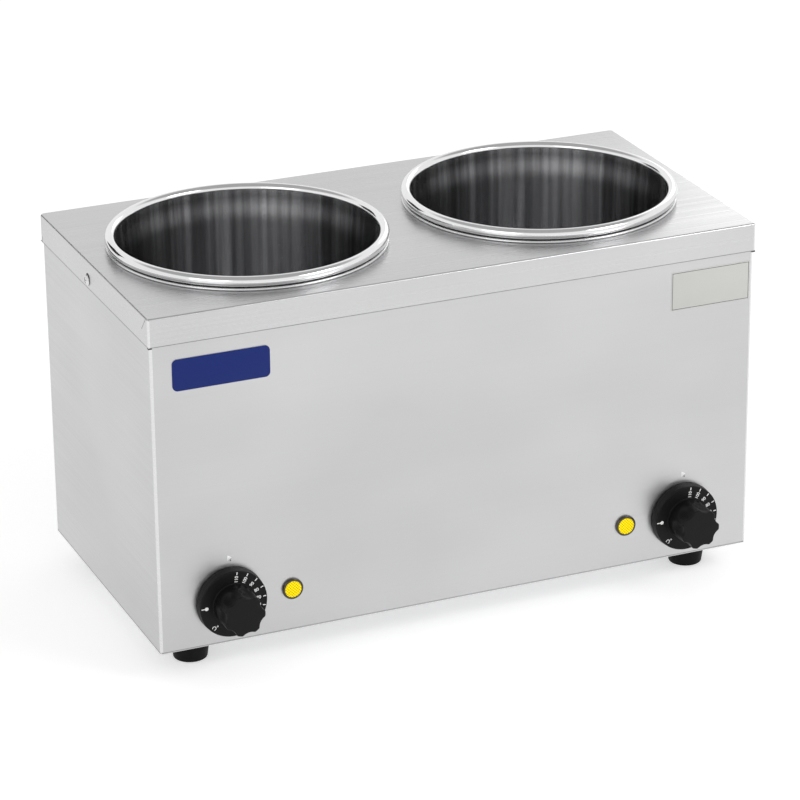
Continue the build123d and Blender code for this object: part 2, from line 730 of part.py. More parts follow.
        with BuildSketch(front_plane.offset(-lamp_barrel_length)):
            with Locations((lamp_x, row_z)):
                Circle(neon_radius)
        extrude(amount=neon_length)
        with BuildSketch(front_plane.offset(-lamp_barrel_length - neon_base_depth)):
            with Locations((lamp_x, row_z)):
                with GridLocations(1, neon_blade_pitch, 1, 2):
                    Rectangle(blade_width, blade_thickness)
        extrude(amount=-blade_length)
    neon.part.label = side + "_neon_lamp"
    export_step(neon.part, "parts/" + side + "_neon_lamp.step")
    with BuildPart() as lamp_nut:
        with BuildSketch(inside_plane):
            with Locations((lamp_x, row_z)):
                Circle(lamp_nut_radius)
                Circle(lamp_barrel_radius + lamp_nut_play, mode=Mode.SUBTRACT)
                with PolarLocations(lamp_nut_radius, 6):
                    Circle(lamp_nut_notch, mode=Mode.SUBTRACT)
        extrude(amount=-lamp_nut_height)
    lamp_nut.part.label = side + "_lamp_nut"
    export_step(lamp_nut.part, "parts/" + side + "_lamp_nut.step")

# Cord gland: hexagon body outside, thread through the panel, domed cap
with BuildPart() as cord_gland:
    with BuildSketch(back_plane):
        with Locations((gland_x, gland_z)):
            RegularPolygon(gland_body_flats / 2, 6, major_radius=False)
    extrude(amount=-gland_body_depth)
    with BuildSketch(back_plane):
        with Locations((gland_x, gland_z)):
            Circle(gland_thread_radius)
    extrude(amount=sheet + gland_inside)
    with BuildSketch(back_plane.offset(-gland_body_depth)):
        with Locations((gland_x, gland_z)):
            Circle(gland_cap_radius)
    extrude(amount=-(gland_reach - gland_body_depth))
    fillet(cord_gland.edges().filter_by(GeomType.CIRCLE).sort_by(Axis.Y)[-1], gland_cap_round)
    with BuildSketch(back_plane.offset(-gland_reach)):
        with Locations((gland_x, gland_z)):
            Circle(gland_bore_radius)
    extrude(amount=gland_reach + sheet + gland_inside, mode=Mode.SUBTRACT)
cord_gland.part.label = "cord_gland"
export_step(cord_gland.part, "parts/cord_gland.step")

with BuildPart() as gland_nut:
    with BuildSketch(back_plane.offset(sheet)):
        with Locations((gland_x, gland_z)):
            RegularPolygon(gland_nut_flats / 2, 6, major_radius=False)
            Circle(gland_thread_radius + shaft_fit, mode=Mode.SUBTRACT)
    extrude(amount=gland_nut_height)
gland_nut.part.label = "gland_nut"
export_step(gland_nut.part, "parts/gland_nut.step")

# Terminal block on the tray, with one clamp screw to each pole on both rows
terminal_y = back_y - terminal_inset
terminal_length = terminal_poles * terminal_pole_pitch
with BuildPart() as terminal_block:
    with BuildSketch(Plane.XY.offset(tray_floor)):
        with Locations((terminal_x, terminal_y)):
            Rectangle(terminal_length, terminal_depth)
    extrude(amount=terminal_base)
    with BuildSketch(Plane.XY.offset(tray_floor + terminal_base)):
        with Locations((terminal_x, terminal_y)):
            with GridLocations(terminal_pole_pitch, 1, terminal_poles, 1):
                Rectangle(terminal_pole_pitch - terminal_pole_gap, terminal_depth)
    extrude(amount=terminal_height - terminal_base)
    with BuildSketch(Plane.XY.offset(tray_floor + terminal_height)):
        with Locations((terminal_x, terminal_y)):
            with GridLocations(terminal_pole_pitch, terminal_depth / 2, terminal_poles, 2):
                Circle(terminal_screw_radius + shaft_fit)
    extrude(amount=-terminal_screw_depth, mode=Mode.SUBTRACT)
    with BuildSketch(Plane.XZ.offset(-terminal_y - terminal_depth / 2)):
        with Locations((terminal_x, tray_floor + terminal_height / 2)):
            with GridLocations(terminal_pole_pitch, 1, terminal_poles, 1):
                Circle(terminal_wire_radius)
    extrude(amount=terminal_depth, mode=Mode.SUBTRACT)
terminal_block.part.label = "terminal_block"
export_step(terminal_block.part, "parts/terminal_block.step")

with BuildPart() as terminal_screws:
    with BuildSketch(Plane.XY.offset(tray_floor + terminal_height - terminal_screw_depth)):
        with Locations((terminal_x, terminal_y)):
            with GridLocations(terminal_pole_pitch, terminal_depth / 2, terminal_poles, 2):
                Circle(terminal_screw_radius)
    extrude(amount=terminal_screw_depth + terminal_screw_rise)
    with BuildSketch(Plane.XY.offset(tray_floor + terminal_height + terminal_screw_rise)):
        with Locations((terminal_x, terminal_y)):
            with GridLocations(terminal_pole_pitch, terminal_depth / 2, terminal_poles, 2):
                Rectangle(3 * terminal_screw_radius, terminal_slot_width)
    extrude(amount=-terminal_screw_rise, mode=Mode.SUBTRACT)
terminal_screws.part.label = "terminal_screws"
export_step(terminal_screws.part, "parts/terminal_screws.step")

# Earth stud welded to the tray, with its nut
with BuildPart() as earth_stud:
    with BuildSketch(Plane.XY.offset(tray_floor)):
        with Locations((earth_x, terminal_y)):
            Circle(earth_radius)
    extrude(amount=earth_length)
earth_stud.part.label = "earth_stud"
export_step(earth_stud.part, "parts/earth_stud.step")
with BuildPart() as earth_nut:
    with BuildSketch(Plane.XY.offset(tray_floor)):
        with Locations((earth_x, terminal_y)):
            RegularPolygon(nut_flats / 2, 6, major_radius=False)
            Circle(earth_radius + shaft_fit, mode=Mode.SUBTRACT)
    extrude(amount=nut_height)
earth_nut.part.label = "earth_nut"
export_step(earth_nut.part, "parts/earth_nut.step")

# Feet: tapered rubber, each with a pocket for its screw
for name, (x, y) in zip(("front_left", "back_left", "front_right", "back_right"), foot_places):
    with BuildPart() as foot:
        with BuildSketch(Plane.XZ.offset(-y)):
            with BuildLine():
                Polyline(
                    (x + foot_screw_radius + hole_play, foot_recess_depth),
                    (x + foot_screw_radius + hole_play, foot_height),
                    (x + foot_top_radius, foot_height),
                    (x + foot_bottom_radius, 0),
                    (x + foot_recess_radius, 0),
                    (x + foot_recess_radius, foot_recess_depth),
                    close=True,
                )
            make_face()
        revolve(axis=Axis((x, y, 0), (0, 0, 1)))
        rims = foot.edges().filter_by(GeomType.CIRCLE).group_by(Axis.Z)[0]
        fillet(rims.sort_by(SortBy.LENGTH)[-1], foot_edge_round)
    foot.part.label = name + "_foot"
    export_step(foot.part, "parts/" + name + "_foot.step")

# Foot screws, from the pocket up through the tray, and their nuts
foot_screw_top = tray_floor + nut_height + thread_end
with BuildPart() as foot_screws:
    for x, y in foot_places:
        with BuildSketch(Plane.XY.offset(foot_recess_depth)):
            with Locations((x, y)):
                Circle(foot_head_radius)
        extrude(amount=-foot_head_height)
        with BuildSketch(Plane.XY.offset(foot_recess_depth)):
            with Locations((x, y)):
                Circle(foot_screw_radius)
        extrude(amount=foot_screw_top - foot_recess_depth)
foot_screws.part.label = "foot_screws"
export_step(foot_screws.part, "parts/foot_screws.step")

with BuildPart() as foot_nuts:
    with BuildSketch(Plane.XY.offset(tray_floor)):
        with Locations(*foot_places):
            RegularPolygon(nut_flats / 2, 6, major_radius=False)
            Circle(foot_screw_radius + shaft_fit, mode=Mode.SUBTRACT)
    extrude(amount=nut_height)
foot_nuts.part.label = "foot_nuts"
export_step(foot_nuts.part, "parts/foot_nuts.step")

# Screws that hold the cover, one in each side, and their nuts
cover_screw_y = centre_y + cover_screw_back
cover_nut_x = side_x - sheet
cover_screw_length = body_width / 2 - cover_nut_x + nut_height + thread_end
cover_screw_x = body_width / 2
cover_screw_solids = [
    screw(
        Plane((sign * cover_screw_x, cover_screw_y, cover_screw_z), x_dir=(0, 1, 0), z_dir=(sign, 0, 0)),
        cover_head_radius,
        cover_head_height,
        cover_screw_radius,
        cover_screw_length,
    )
    for side, sign in sides
]
with BuildPart() as cover_screws:
    add(cover_screw_solids)
cover_screws.part.label = "cover_screws"
export_step(cover_screws.part, "parts/cover_screws.step")

with BuildPart() as cover_nuts:
    for side, sign in sides:
        with BuildSketch(Plane.YZ.offset(sign * cover_nut_x)):
            with Locations((cover_screw_y, cover_screw_z)):
                RegularPolygon(nut_flats / 2, 6, major_radius=False)
                Circle(cover_screw_radius + shaft_fit, mode=Mode.SUBTRACT)
        extrude(amount=-sign * nut_height)
cover_nuts.part.label = "cover_nuts"
export_step(cover_nuts.part, "parts/cover_nuts.step")

# Self-tapping screws of the back panel and of the base tray
panel_screw_solids = [
    screw(
        Plane(origin=(x, back_y, z), x_dir=(1, 0, 0), z_dir=(0, 1, 0)),
        panel_head_radius,
        panel_head_height,
        panel_screw_radius,
        2 * sheet + screw_past,
    )
    for x, z in panel_screw_places
]
with BuildPart() as back_panel_screws:
    add(panel_screw_solids)
back_panel_screws.part.label = "back_panel_screws"
export_step(back_panel_screws.part, "parts/back_panel_screws.step")

base_screw_solids = [
    screw(
        Plane(origin=(x, y, casing_bottom), x_dir=(1, 0, 0), z_dir=(0, 0, -1)),
        panel_head_radius,
        panel_head_height,
        panel_screw_radius,
        2 * sheet + screw_past,
    )
    for x, y in base_screw_places
]
with BuildPart() as base_screws:
    add(base_screw_solids)
base_screws.part.label = "base_screws"
export_step(base_screws.part, "parts/base_screws.step")

# Screws that hold the thermostats, under the skirts of the knobs
fixing_screw_solids = [
    screw(
        Plane(
            (sign * knob_pitch / 2 + step * fixing_pitch, face_y, row_z),
            x_dir=(1, 0, 0),
            z_dir=(0, -1, 0),
        ),
        fixing_head_radius,
        fixing_head_height,
        fixing_radius,
        sheet + plate_thickness + screw_past,
    )
    for side, sign in sides
    for step in (-0.5, 0.5)
]
with BuildPart() as thermostat_screws:
    add(fixing_screw_solids)
thermostat_screws.part.label = "thermostat_screws"
export_step(thermostat_screws.part, "parts/thermostat_screws.step")
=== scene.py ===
"""Looks of the two-pot soup warmer: its polished pots, dial knobs, pilot lamps, plates and sheet steel.

Metres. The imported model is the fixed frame: +Z is up and the front with the knobs faces -Y.
"""
import math

import bmesh
import bpy
from mathutils import Matrix, Vector


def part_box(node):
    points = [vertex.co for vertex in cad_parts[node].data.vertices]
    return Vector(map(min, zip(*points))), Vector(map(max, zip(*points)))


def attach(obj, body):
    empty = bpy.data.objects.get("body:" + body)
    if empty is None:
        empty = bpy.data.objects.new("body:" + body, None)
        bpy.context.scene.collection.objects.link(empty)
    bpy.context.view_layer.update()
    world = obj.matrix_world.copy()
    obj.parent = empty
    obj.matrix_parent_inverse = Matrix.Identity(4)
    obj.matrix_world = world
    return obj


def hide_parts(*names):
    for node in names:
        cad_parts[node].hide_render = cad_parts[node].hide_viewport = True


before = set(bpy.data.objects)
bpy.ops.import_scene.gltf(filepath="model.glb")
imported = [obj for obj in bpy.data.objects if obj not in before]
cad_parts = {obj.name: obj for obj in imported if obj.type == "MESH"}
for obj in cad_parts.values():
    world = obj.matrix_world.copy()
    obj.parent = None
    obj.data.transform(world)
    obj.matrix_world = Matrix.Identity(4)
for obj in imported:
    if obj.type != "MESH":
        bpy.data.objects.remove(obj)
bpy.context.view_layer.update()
MM = 0.001

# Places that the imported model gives
cover_low, cover_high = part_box("top_cover")
shell_low, shell_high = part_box("body_shell")
cover_top = cover_high.z
face_y = shell_low.y
casing_bottom = shell_low.z
middle_y = (cover_low.y + cover_high.y) / 2
sides = {"left": -1, "right": 1}


def centre(node):
    """Middle of a node's box."""
    low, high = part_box(node)
    return (low + high) / 2


# Outlines are drawn in millimetres by a pen that moves in the plane of radius and height, and are then spun
def start(bm, r, z):
    """Sets the pen down."""
    return bm.verts.new((r * MM, 0.0, z * MM))


def line(bm, tip, r, z):
    """Draws a straight edge from the pen's tip."""
    end = bmesh.ops.extrude_vert_indiv(bm, verts=[tip])["verts"][0]
    end.co = (r * MM, 0.0, z * MM)
    return end


def run(bm, tip, r, z):
    """Straight run with a ring held close to each end, so that the wall shades flat between them."""
    hold = 0.6
    begin, end = Vector(tip.co), Vector((r * MM, 0.0, z * MM))
    step = (end - begin).normalized() * hold * MM
    for point in (begin + step, end - step):
        tip = line(bm, tip, point.x / MM, point.z / MM)
    return line(bm, tip, r, z)


def arc(bm, tip, r, z, degrees, steps):
    """Swings the pen about a centre, anticlockwise where the angle is positive."""
    swung = bmesh.ops.spin(
        bm, geom=[tip], cent=(r * MM, 0.0, z * MM), axis=(0.0, -1.0, 0.0),
        angle=math.radians(degrees), steps=steps, use_duplicate=False,
    )
    return [part for part in swung["geom_last"] if isinstance(part, bmesh.types.BMVert)][0]


def turn(bm, steps):
    """Spins the outline about Z into a closed shape whose faces point outwards."""
    bmesh.ops.remove_doubles(bm, verts=bm.verts, dist=1e-7)
    bmesh.ops.spin(
        bm, geom=bm.verts[:] + bm.edges[:], cent=(0.0, 0.0, 0.0), axis=(0.0, 0.0, 1.0),
        angle=2 * math.pi, steps=steps, use_merge=True,
    )
    bmesh.ops.remove_doubles(bm, verts=bm.verts, dist=2e-7)
    bmesh.ops.recalc_face_normals(bm, faces=bm.faces)


def piece(bm, name, body, materials, place=None, replaces=(), sharp=40):
    """Makes an object of the mesh, puts its place into the mesh and lets it ride on a body."""
    if place is not None:
        bmesh.ops.transform(bm, matrix=place, verts=bm.verts)
    mesh = bpy.data.meshes.new(name)
    bm.to_mesh(mesh)
    bm.free()
    for material in materials:
        mesh.materials.append(material)
    mesh.shade_smooth()
    mesh.set_sharp_from_angle(angle=math.radians(sharp))
    made = bpy.data.objects.new(name, mesh)
    bpy.context.scene.collection.objects.link(made)
    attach(made, body)
    if replaces:
        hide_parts(*replaces)
    return made


def on_panel(x, z):
    """Place on the front panel: the piece's X runs along the panel, its Y up it and its Z out of it."""
    return Matrix(((1, 0, 0, x), (0, 0, -1, face_y), (0, 1, 0, z), (0, 0, 0, 1)))


# Finishes
def finish(name, colour, roughness, metallic=0.0, **sockets):
    """A material with its plain values set on the shader's own sockets."""
    material = bpy.data.materials.new(name)
    material.use_nodes = True
    shader = material.node_tree.nodes["Principled BSDF"]
    shader.inputs["Base Color"].default_value = (*colour, 1.0)
    shader.inputs["Roughness"].default_value = roughness
    shader.inputs["Metallic"].default_value = metallic
    for socket, value in sockets.items():
        shader.inputs[socket.replace("_", " ")].default_value = value
    return material


def pattern(material, stretch, size, detail, turn_about=None):
    """Noise on object coordinates, stretched along the grain. turn_about wraps it round a pot's axis."""
    tree = material.node_tree
    coordinates = tree.nodes.new("ShaderNodeTexCoord")
    vector = coordinates.outputs["Object"]
    if turn_about is not None:
        move = tree.nodes.new("ShaderNodeMapping")
        move.inputs["Location"].default_value = (-turn_about[0], -turn_about[1], 0.0)
        tree.links.new(vector, move.inputs["Vector"])
        flat = tree.nodes.new("ShaderNodeVectorMath")
        flat.operation = "MULTIPLY"
        flat.inputs[1].default_value = (1.0, 1.0, 0.0)
        tree.links.new(move.outputs["Vector"], flat.inputs[0])
        unit = tree.nodes.new("ShaderNodeVectorMath")
        unit.operation = "NORMALIZE"
        tree.links.new(flat.outputs["Vector"], unit.inputs[0])
        height = tree.nodes.new("ShaderNodeVectorMath")
        height.operation = "MULTIPLY_ADD"
        height.inputs[1].default_value = (0.0, 0.0, 1.0)
        tree.links.new(move.outputs["Vector"], height.inputs[0])
        tree.links.new(unit.outputs["Vector"], height.inputs[2])
        vector = height.outputs["Vector"]
    mapping = tree.nodes.new("ShaderNodeMapping")
    mapping.inputs["Scale"].default_value = stretch
    tree.links.new(vector, mapping.inputs["Vector"])
    noise = tree.nodes.new("ShaderNodeTexNoise")
    noise.inputs["Scale"].default_value = size
    noise.inputs["Detail"].default_value = detail
    tree.links.new(mapping.outputs["Vector"], noise.inputs["Vector"])
    return noise.outputs["Fac"]


def tint(material, value, dark, light, start_at=0.35, end_at=0.65):
    """Colours the surface between two tones by a pattern."""
    tree = material.node_tree
    ramp = tree.nodes.new("ShaderNodeValToRGB")
    ramp.color_ramp.elements[0].position = start_at
    ramp.color_ramp.elements[0].color = (*dark, 1.0)
    ramp.color_ramp.elements[1].position = end_at
    ramp.color_ramp.elements[1].color = (*light, 1.0)
    tree.links.new(value, ramp.inputs["Fac"])
    tree.links.new(ramp.outputs["Color"], tree.nodes["Principled BSDF"].inputs["Base Color"])


def roughen(material, value, low, high):
    """Varies the roughness between two numbers by a pattern."""
    tree = material.node_tree
    ranged = tree.nodes.new("ShaderNodeMapRange")
    for socket, number in (("From Min", 0.3), ("From Max", 0.7), ("To Min", low), ("To Max", high)):
        ranged.inputs[socket].default_value = number
    tree.links.new(value, ranged.inputs["Value"])
    tree.links.new(ranged.outputs["Result"], tree.nodes["Principled BSDF"].inputs["Roughness"])


def relief(material, value, height, strength):
    """Bump of a height in metres."""
    tree = material.node_tree
    bump = tree.nodes.new("ShaderNodeBump")
    bump.inputs["Strength"].default_value = strength
    bump.inputs["Distance"].default_value = height
    tree.links.new(value, bump.inputs["Height"])
    tree.links.new(bump.outputs["Normal"], tree.nodes["Principled BSDF"].inputs["Normal"])


def brushed_sheet(name, stretch, dark, light, rough):
    """Satin stainless sheet: fine grain along the rolling direction over broad faint clouds."""
    material = finish(name, light, rough, 1.0)
    grain = pattern(material, stretch, 1.0, 4.0)
    clouds = pattern(material, (1.0, 1.0, 1.6), 5.0, 2.0)
    tint(material, clouds, dark, light)
    roughen(material, grain, rough - 0.05, rough + 0.05)
    relief(material, grain, 0.000012, 0.5)
    return material


def moulded(name, colour, rough, grain_size, height, **sockets):
    """Moulded plastic or rubber with a fine skin."""
    material = finish(name, colour, rough, 0.0, **sockets)
    skin = pattern(material, (1.0, 1.0, 1.0), grain_size, 3.0)
    roughen(material, skin, rough - 0.06, rough + 0.08)
    relief(material, skin, height, 0.6)
    return material


def plated(name, dark, light, rough, stretch=(60.0, 60.0, 60.0)):
    """Small metal part with drawn or machined tone."""
    material = finish(name, light, rough, 1.0)
    tone = pattern(material, stretch, 6.0, 4.0)
    tint(material, tone, dark, light)
    roughen(material, tone, rough - 0.06, rough + 0.08)
    relief(material, tone, 0.000015, 0.4)
    return material


def polished_steel(name, axis, dark, light, rough):
    """Polish that runs round the wall: reflections stay sharp sideways and are drawn out up and down."""
    material = finish(name, light, rough, 1.0, Anisotropic=0.93, Anisotropic_Rotation=0.25)
    tree = material.node_tree
    around = tree.nodes.new("ShaderNodeTangent")
    around.direction_type = "RADIAL"
    around.axis = "Z"
    tree.links.new(around.outputs["Tangent"], tree.nodes["Principled BSDF"].inputs["Tangent"])
    # The tone streaks up and down the wall: partly the polish, partly painted reflection bands.
    streaks_and_painted_bands = pattern(material, (9.0, 9.0, 0.9), 1.6, 3.0, turn_about=axis)
    tint(material, streaks_and_painted_bands, dark, light, 0.38, 0.62)
    roughen(material, streaks_and_painted_bands, rough, rough + 0.05)
    return material


casing_steel = brushed_sheet("casing_steel", (4.0, 4.0, 900.0), (0.545, 0.545, 0.55), (0.59, 0.59, 0.595),
                             0.33)
cover_steel = brushed_sheet("cover_steel", (4.0, 900.0, 500.0), (0.555, 0.555, 0.56), (0.595, 0.595, 0.6),
                            0.3)
# Dark steel on the skirt's lower edge and the shell's lower fold: painted shade, for the gap under the skirt
# and the shade under the casing that the fold reflects.
painted_edge_shade = plated("painted_edge_shade", (0.22, 0.22, 0.22), (0.3, 0.3, 0.3), 0.45)
# Lighter copy of the sheet's steel for the upright corner roundings: painted highlight.
painted_bend_highlight = brushed_sheet("painted_bend_highlight", (4.0, 4.0, 900.0), (0.7, 0.7, 0.705), (0.74, 0.74, 0.745), 0.3)
tray_steel = brushed_sheet("tray_steel", (4.0, 700.0, 700.0), (0.5, 0.51, 0.52), (0.56, 0.57, 0.58), 0.36)
pot_axes = {side: centre(side + "_pot") for side in sides}
pot_steel = {
    side: polished_steel(side + "_pot_steel", pot_axes[side], (0.38, 0.38, 0.39), (0.7, 0.7, 0.71), 0.16)
    for side in sides
}
floor_steel = plated("pot_floor_steel", (0.5, 0.5, 0.505), (0.58, 0.58, 0.585), 0.2, (2.0, 2.0, 2.0))
rim_steel = plated("rim_steel", (0.78, 0.78, 0.785), (0.82, 0.82, 0.825), 0.1, (3.0, 3.0, 3.0))
lip_steel = plated("lip_steel", (0.7, 0.7, 0.705), (0.76, 0.76, 0.765), 0.26, (5.0, 5.0, 5.0))
well_steel = {
    side: polished_steel(side + "_well_steel", pot_axes[side], (0.52, 0.52, 0.53), (0.6, 0.6, 0.61), 0.28)
    for side in sides
}
knob_plastic = moulded("knob_plastic", (0.007, 0.007, 0.0075), 0.42, 1400.0, 0.000012,
                       Specular_IOR_Level=0.16)
# White print with a faint glow: the glow is painted light.
dial_white_painted_glow = moulded("dial_white_painted_glow", (0.92, 0.92, 0.9), 0.5, 2500.0, 0.000004,
                     Emission_Color=(1.0, 1.0, 1.0, 1.0), Emission_Strength=0.15)
lamp_rim_plastic = moulded("lamp_rim_plastic", (0.03, 0.022, 0.006), 0.22, 1200.0, 0.000006, Coat_Weight=0.4)
foot_rubber = moulded("foot_rubber", (0.008, 0.008, 0.008), 0.55, 700.0, 0.00005, Specular_IOR_Level=0.12)
black_nylon = moulded("black_nylon", (0.02, 0.02, 0.021), 0.42, 900.0, 0.00002)
seal_rubber = moulded("seal_rubber", (0.42, 0.09, 0.05), 0.55, 900.0, 0.00002)
thermostat_case = moulded("thermostat_case", (0.7, 0.68, 0.6), 0.4, 700.0, 0.00002)
terminal_plastic = moulded("terminal_plastic", (0.82, 0.81, 0.76), 0.38, 700.0, 0.00002)
neon_body = moulded("neon_body", (0.72, 0.64, 0.56), 0.25, 700.0, 0.00001)
screw_steel = plated("screw_steel", (0.6, 0.6, 0.6), (0.72, 0.72, 0.72), 0.2)
zinc_steel = plated("zinc_steel", (0.46, 0.47, 0.45), (0.6, 0.6, 0.57), 0.3)
nut_brass = plated("nut_brass", (0.5, 0.36, 0.14), (0.68, 0.52, 0.24), 0.28)
copper_tube = plated("copper_tube", (0.5, 0.26, 0.15), (0.68, 0.4, 0.26), 0.3)
element_steel = plated("element_steel", (0.26, 0.26, 0.27), (0.42, 0.42, 0.43), 0.34, (20.0, 20.0, 20.0))
plate_blue = moulded("plate_blue", (0.012, 0.03, 0.2), 0.4, 900.0, 0.000006, Specular_IOR_Level=0.2)
plate_pale = moulded("plate_pale", (0.76, 0.76, 0.73), 0.42, 900.0, 0.000006)
plate_line = moulded("plate_line", (0.09, 0.09, 0.09), 0.5, 900.0, 0.000006)
seam_shade = moulded("seam_shade", (0.035, 0.035, 0.036), 0.6, 900.0, 0.000006)
lens_yellow = moulded("lens_yellow", (1.0, 0.8, 0.003), 0.3, 900.0, 0.000004, Specular_IOR_Level=0.12,
                      Emission_Color=(1.0, 0.79, 0.003, 1.0), Emission_Strength=0.5)
# Dark amber for the grooves between the lens's pyramids: painted shade in the grooves.
lens_groove_shade = moulded("lens_groove_shade", (0.3, 0.15, 0.003), 0.4, 900.0, 0.000004, Specular_IOR_Level=0.2)

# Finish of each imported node, by the ending of its name
finish_of = {
    "body_shell": casing_steel, "back_panel": casing_steel, "top_cover": cover_steel, "base_tray": tray_steel,
    "sensor_sleeve": tray_steel, "heating_element": element_steel, "element_seals": seal_rubber,
    "element_nuts": nut_brass, "sensor": copper_tube, "thermostat": thermostat_case,
    "thermostat_shaft": zinc_steel, "neon_lamp": neon_body, "lamp_nut": black_nylon,
    "cord_gland": black_nylon, "gland_nut": black_nylon, "terminal_block": terminal_plastic,
    "terminal_screws": nut_brass,
    "earth_stud": zinc_steel, "earth_nut": nut_brass, "foot_screws": zinc_steel, "foot_nuts": zinc_steel,
    "cover_nuts": zinc_steel, "thermostat_screws": zinc_steel, "lamp_rim": lamp_rim_plastic,
    "lamp_lens": lens_yellow, "knob": knob_plastic, "foot": foot_rubber, "cover_screws": screw_steel,
    "back_panel_screws": screw_steel, "base_screws": screw_steel, "pot": screw_steel, "well": screw_steel,
}
for name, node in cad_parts.items():
    ending = max((key for key in finish_of if name == key or name.endswith("_" + key)), key=len)
    node.data.materials.clear()
    node.data.materials.append(finish_of[ending])

# Pots: rolled rim, short neck, soft shoulder, straight wall and rounded floor
pot_low, pot_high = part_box("left_pot")
rim_radius = (pot_high.x - pot_low.x) / 2 / MM
rim_top = pot_high.z / MM
pot_under = pot_low.z / MM
roll = 4.1
wall = 0.8
curl_angle = 310.0
neck = rim_radius - 2 * roll
roll_r = neck + roll
roll_z = rim_top - roll
shoulder_in = 1.6
shoulder_top = rim_top - 9.0
shoulder_end = shoulder_top - 22.0
pot_inside = neck - shoulder_in
pot_round = 16.0
pot_steps = 288


def shoulder(bm, tip, from_r, from_z, to_r, to_z):
    """Soft bend from one radius to another."""
    steps = 12
    for step in range(1, steps + 1):
        share = (1 - math.cos(math.pi * step / steps)) / 2
        tip = line(bm, tip, from_r + (to_r - from_r) * share, from_z + (to_z - from_z) * step / steps)
    return tip


def pot_mesh():
    """Outside from the floor's middle up to the rim, round the roll and its curl, and down the inside."""
    bm = bmesh.new()
    corner_r = pot_inside - pot_round
    corner_z = pot_under + wall + pot_round
    tip = run(bm, start(bm, 0, pot_under), corner_r, pot_under)
    tip = arc(bm, tip, corner_r, corner_z, 90, 10)
    tip = run(bm, tip, pot_inside + wall, shoulder_end)
    tip = shoulder(bm, tip, pot_inside + wall, shoulder_end, neck + wall, shoulder_top)
    tip = line(bm, tip, neck + wall, roll_z)
    tip = arc(bm, tip, roll_r, roll_z, -curl_angle, 24)
    end = math.radians(180 - curl_angle)
    tip = line(bm, tip, roll_r + roll * math.cos(end), roll_z + roll * math.sin(end))
    tip = arc(bm, tip, roll_r, roll_z, curl_angle, 32)
    tip = line(bm, tip, neck, shoulder_top)
    tip = shoulder(bm, tip, neck, shoulder_top, pot_inside, shoulder_end)
    tip = run(bm, tip, pot_inside, corner_z)
    tip = arc(bm, tip, corner_r, corner_z, -90, 14)
    run(bm, tip, 0, pot_under + wall)
    turn(bm, pot_steps)
    return bm


# Wells: drawn cup whose folded lip lies on the cover
well_low, well_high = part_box("left_well")
lip_radius = (well_high.x - well_low.x) / 2 / MM
well_under = well_low.z / MM
lip_top = well_high.z / MM
lip = 2.0
lip_fold = lip / 4
well_gap = 1.8
well_inside = neck + wall + well_gap
well_round = 10.0
well_steps = 192


def well_mesh():
    """Outside from the floor's middle up to the cover, round the lip, and down the inside."""
    bm = bmesh.new()
    cover = cover_top / MM
    corner_r = well_inside - well_round
    corner_z = well_under + wall + well_round
    tip = run(bm, start(bm, 0, well_under), corner_r, well_under)
    tip = arc(bm, tip, corner_r, corner_z, 90, 8)
    tip = run(bm, tip, well_inside + wall, cover)
    tip = run(bm, tip, lip_radius - lip / 2, cover)
    tip = arc(bm, tip, lip_radius - lip / 2, cover + lip / 2, 180, 10)
    tip = run(bm, tip, well_inside + lip_fold, lip_top)
    tip = arc(bm, tip, well_inside + lip_fold, lip_top - lip_fold, 90, 4)
    tip = run(bm, tip, well_inside, corner_z)
    tip = arc(bm, tip, corner_r, corner_z, -90, 8)
    run(bm, tip, 0, well_under + wall)
    turn(bm, well_steps)
    return bm


def between(bm, low, high, material_index):
    """Gives the faces between two heights in millimetres another finish."""
    for face in bm.faces:
        if all(low * MM < v.co.z < high * MM for v in face.verts):
            face.material_index = material_index


# The rim, the pot's floor and the well's lip have finishes of their own
past = 1.0
floor_high = pot_under + wall + 0.1
lip_start = cover_top / MM - 0.3
for side in sides:
    at_pot = Matrix.Translation((pot_axes[side].x, pot_axes[side].y, 0.0))
    bm = pot_mesh()
    between(bm, roll_z - roll, rim_top + past, 1)
    between(bm, pot_under - past, floor_high, 2)
    pot = piece(bm, side + "_soup_pot", side + "_pot", [pot_steel[side], rim_steel, floor_steel], at_pot,
                [side + "_pot"])
    bm = well_mesh()
    between(bm, lip_start, lip_top + past, 1)
    well = piece(bm, side + "_water_well", "casing", [well_steel[side], lip_steel], at_pot, [side + "_well"])

# Knobs: dial skirt, hollow behind, with a grip of seven lobes. Heights are out of the panel
knob_radius = 27.5
knob_clear = 0.8
knob_steps = 168
dial_face = 8.0
dial_under = 5.8
shaft_bore = 3.1
boss_radius = 8.0
skirt_inside = 24.8
skirt_taper = 0.45
skirt_back_round = 0.3
skirt_front_round = 0.7
grip_radius = 16.6
grip_face = 32.0
grip_root = dial_face - 0.4
grip_root_round = 0.6
grip_edge_round = 1.0
grip_rows = 37
grip_face_rings = (11.0, 5.0, 0.0)
lobes = 7
lobe_phase = 49.0
flute_radius = 9.0
flute_depth = 2.3
flute_start = 13.0
flute_blend = 0.9
flute_inner = 12.0


def flute_share(angle, z):
    """How much of the grip's radius is left beside a flute, at an angle and height in millimetres."""
    middle = grip_radius - flute_depth + flute_radius
    run_in = flute_start + flute_radius - z
    reach = flute_radius**2 - max(run_in, 0.0) ** 2
    lobe = 2 * math.pi / lobes
    off = (angle - math.radians(lobe_phase)) % lobe - lobe / 2
    across = middle * math.sin(off)
    if reach <= across**2:
        return 1.0
    left = middle * math.cos(off) - math.sqrt(reach - across**2)
    blend = max(flute_blend - abs(left - grip_radius), 0.0)
    return min(1.0, (min(left, grip_radius) - blend**2 / (4 * flute_blend)) / grip_radius)


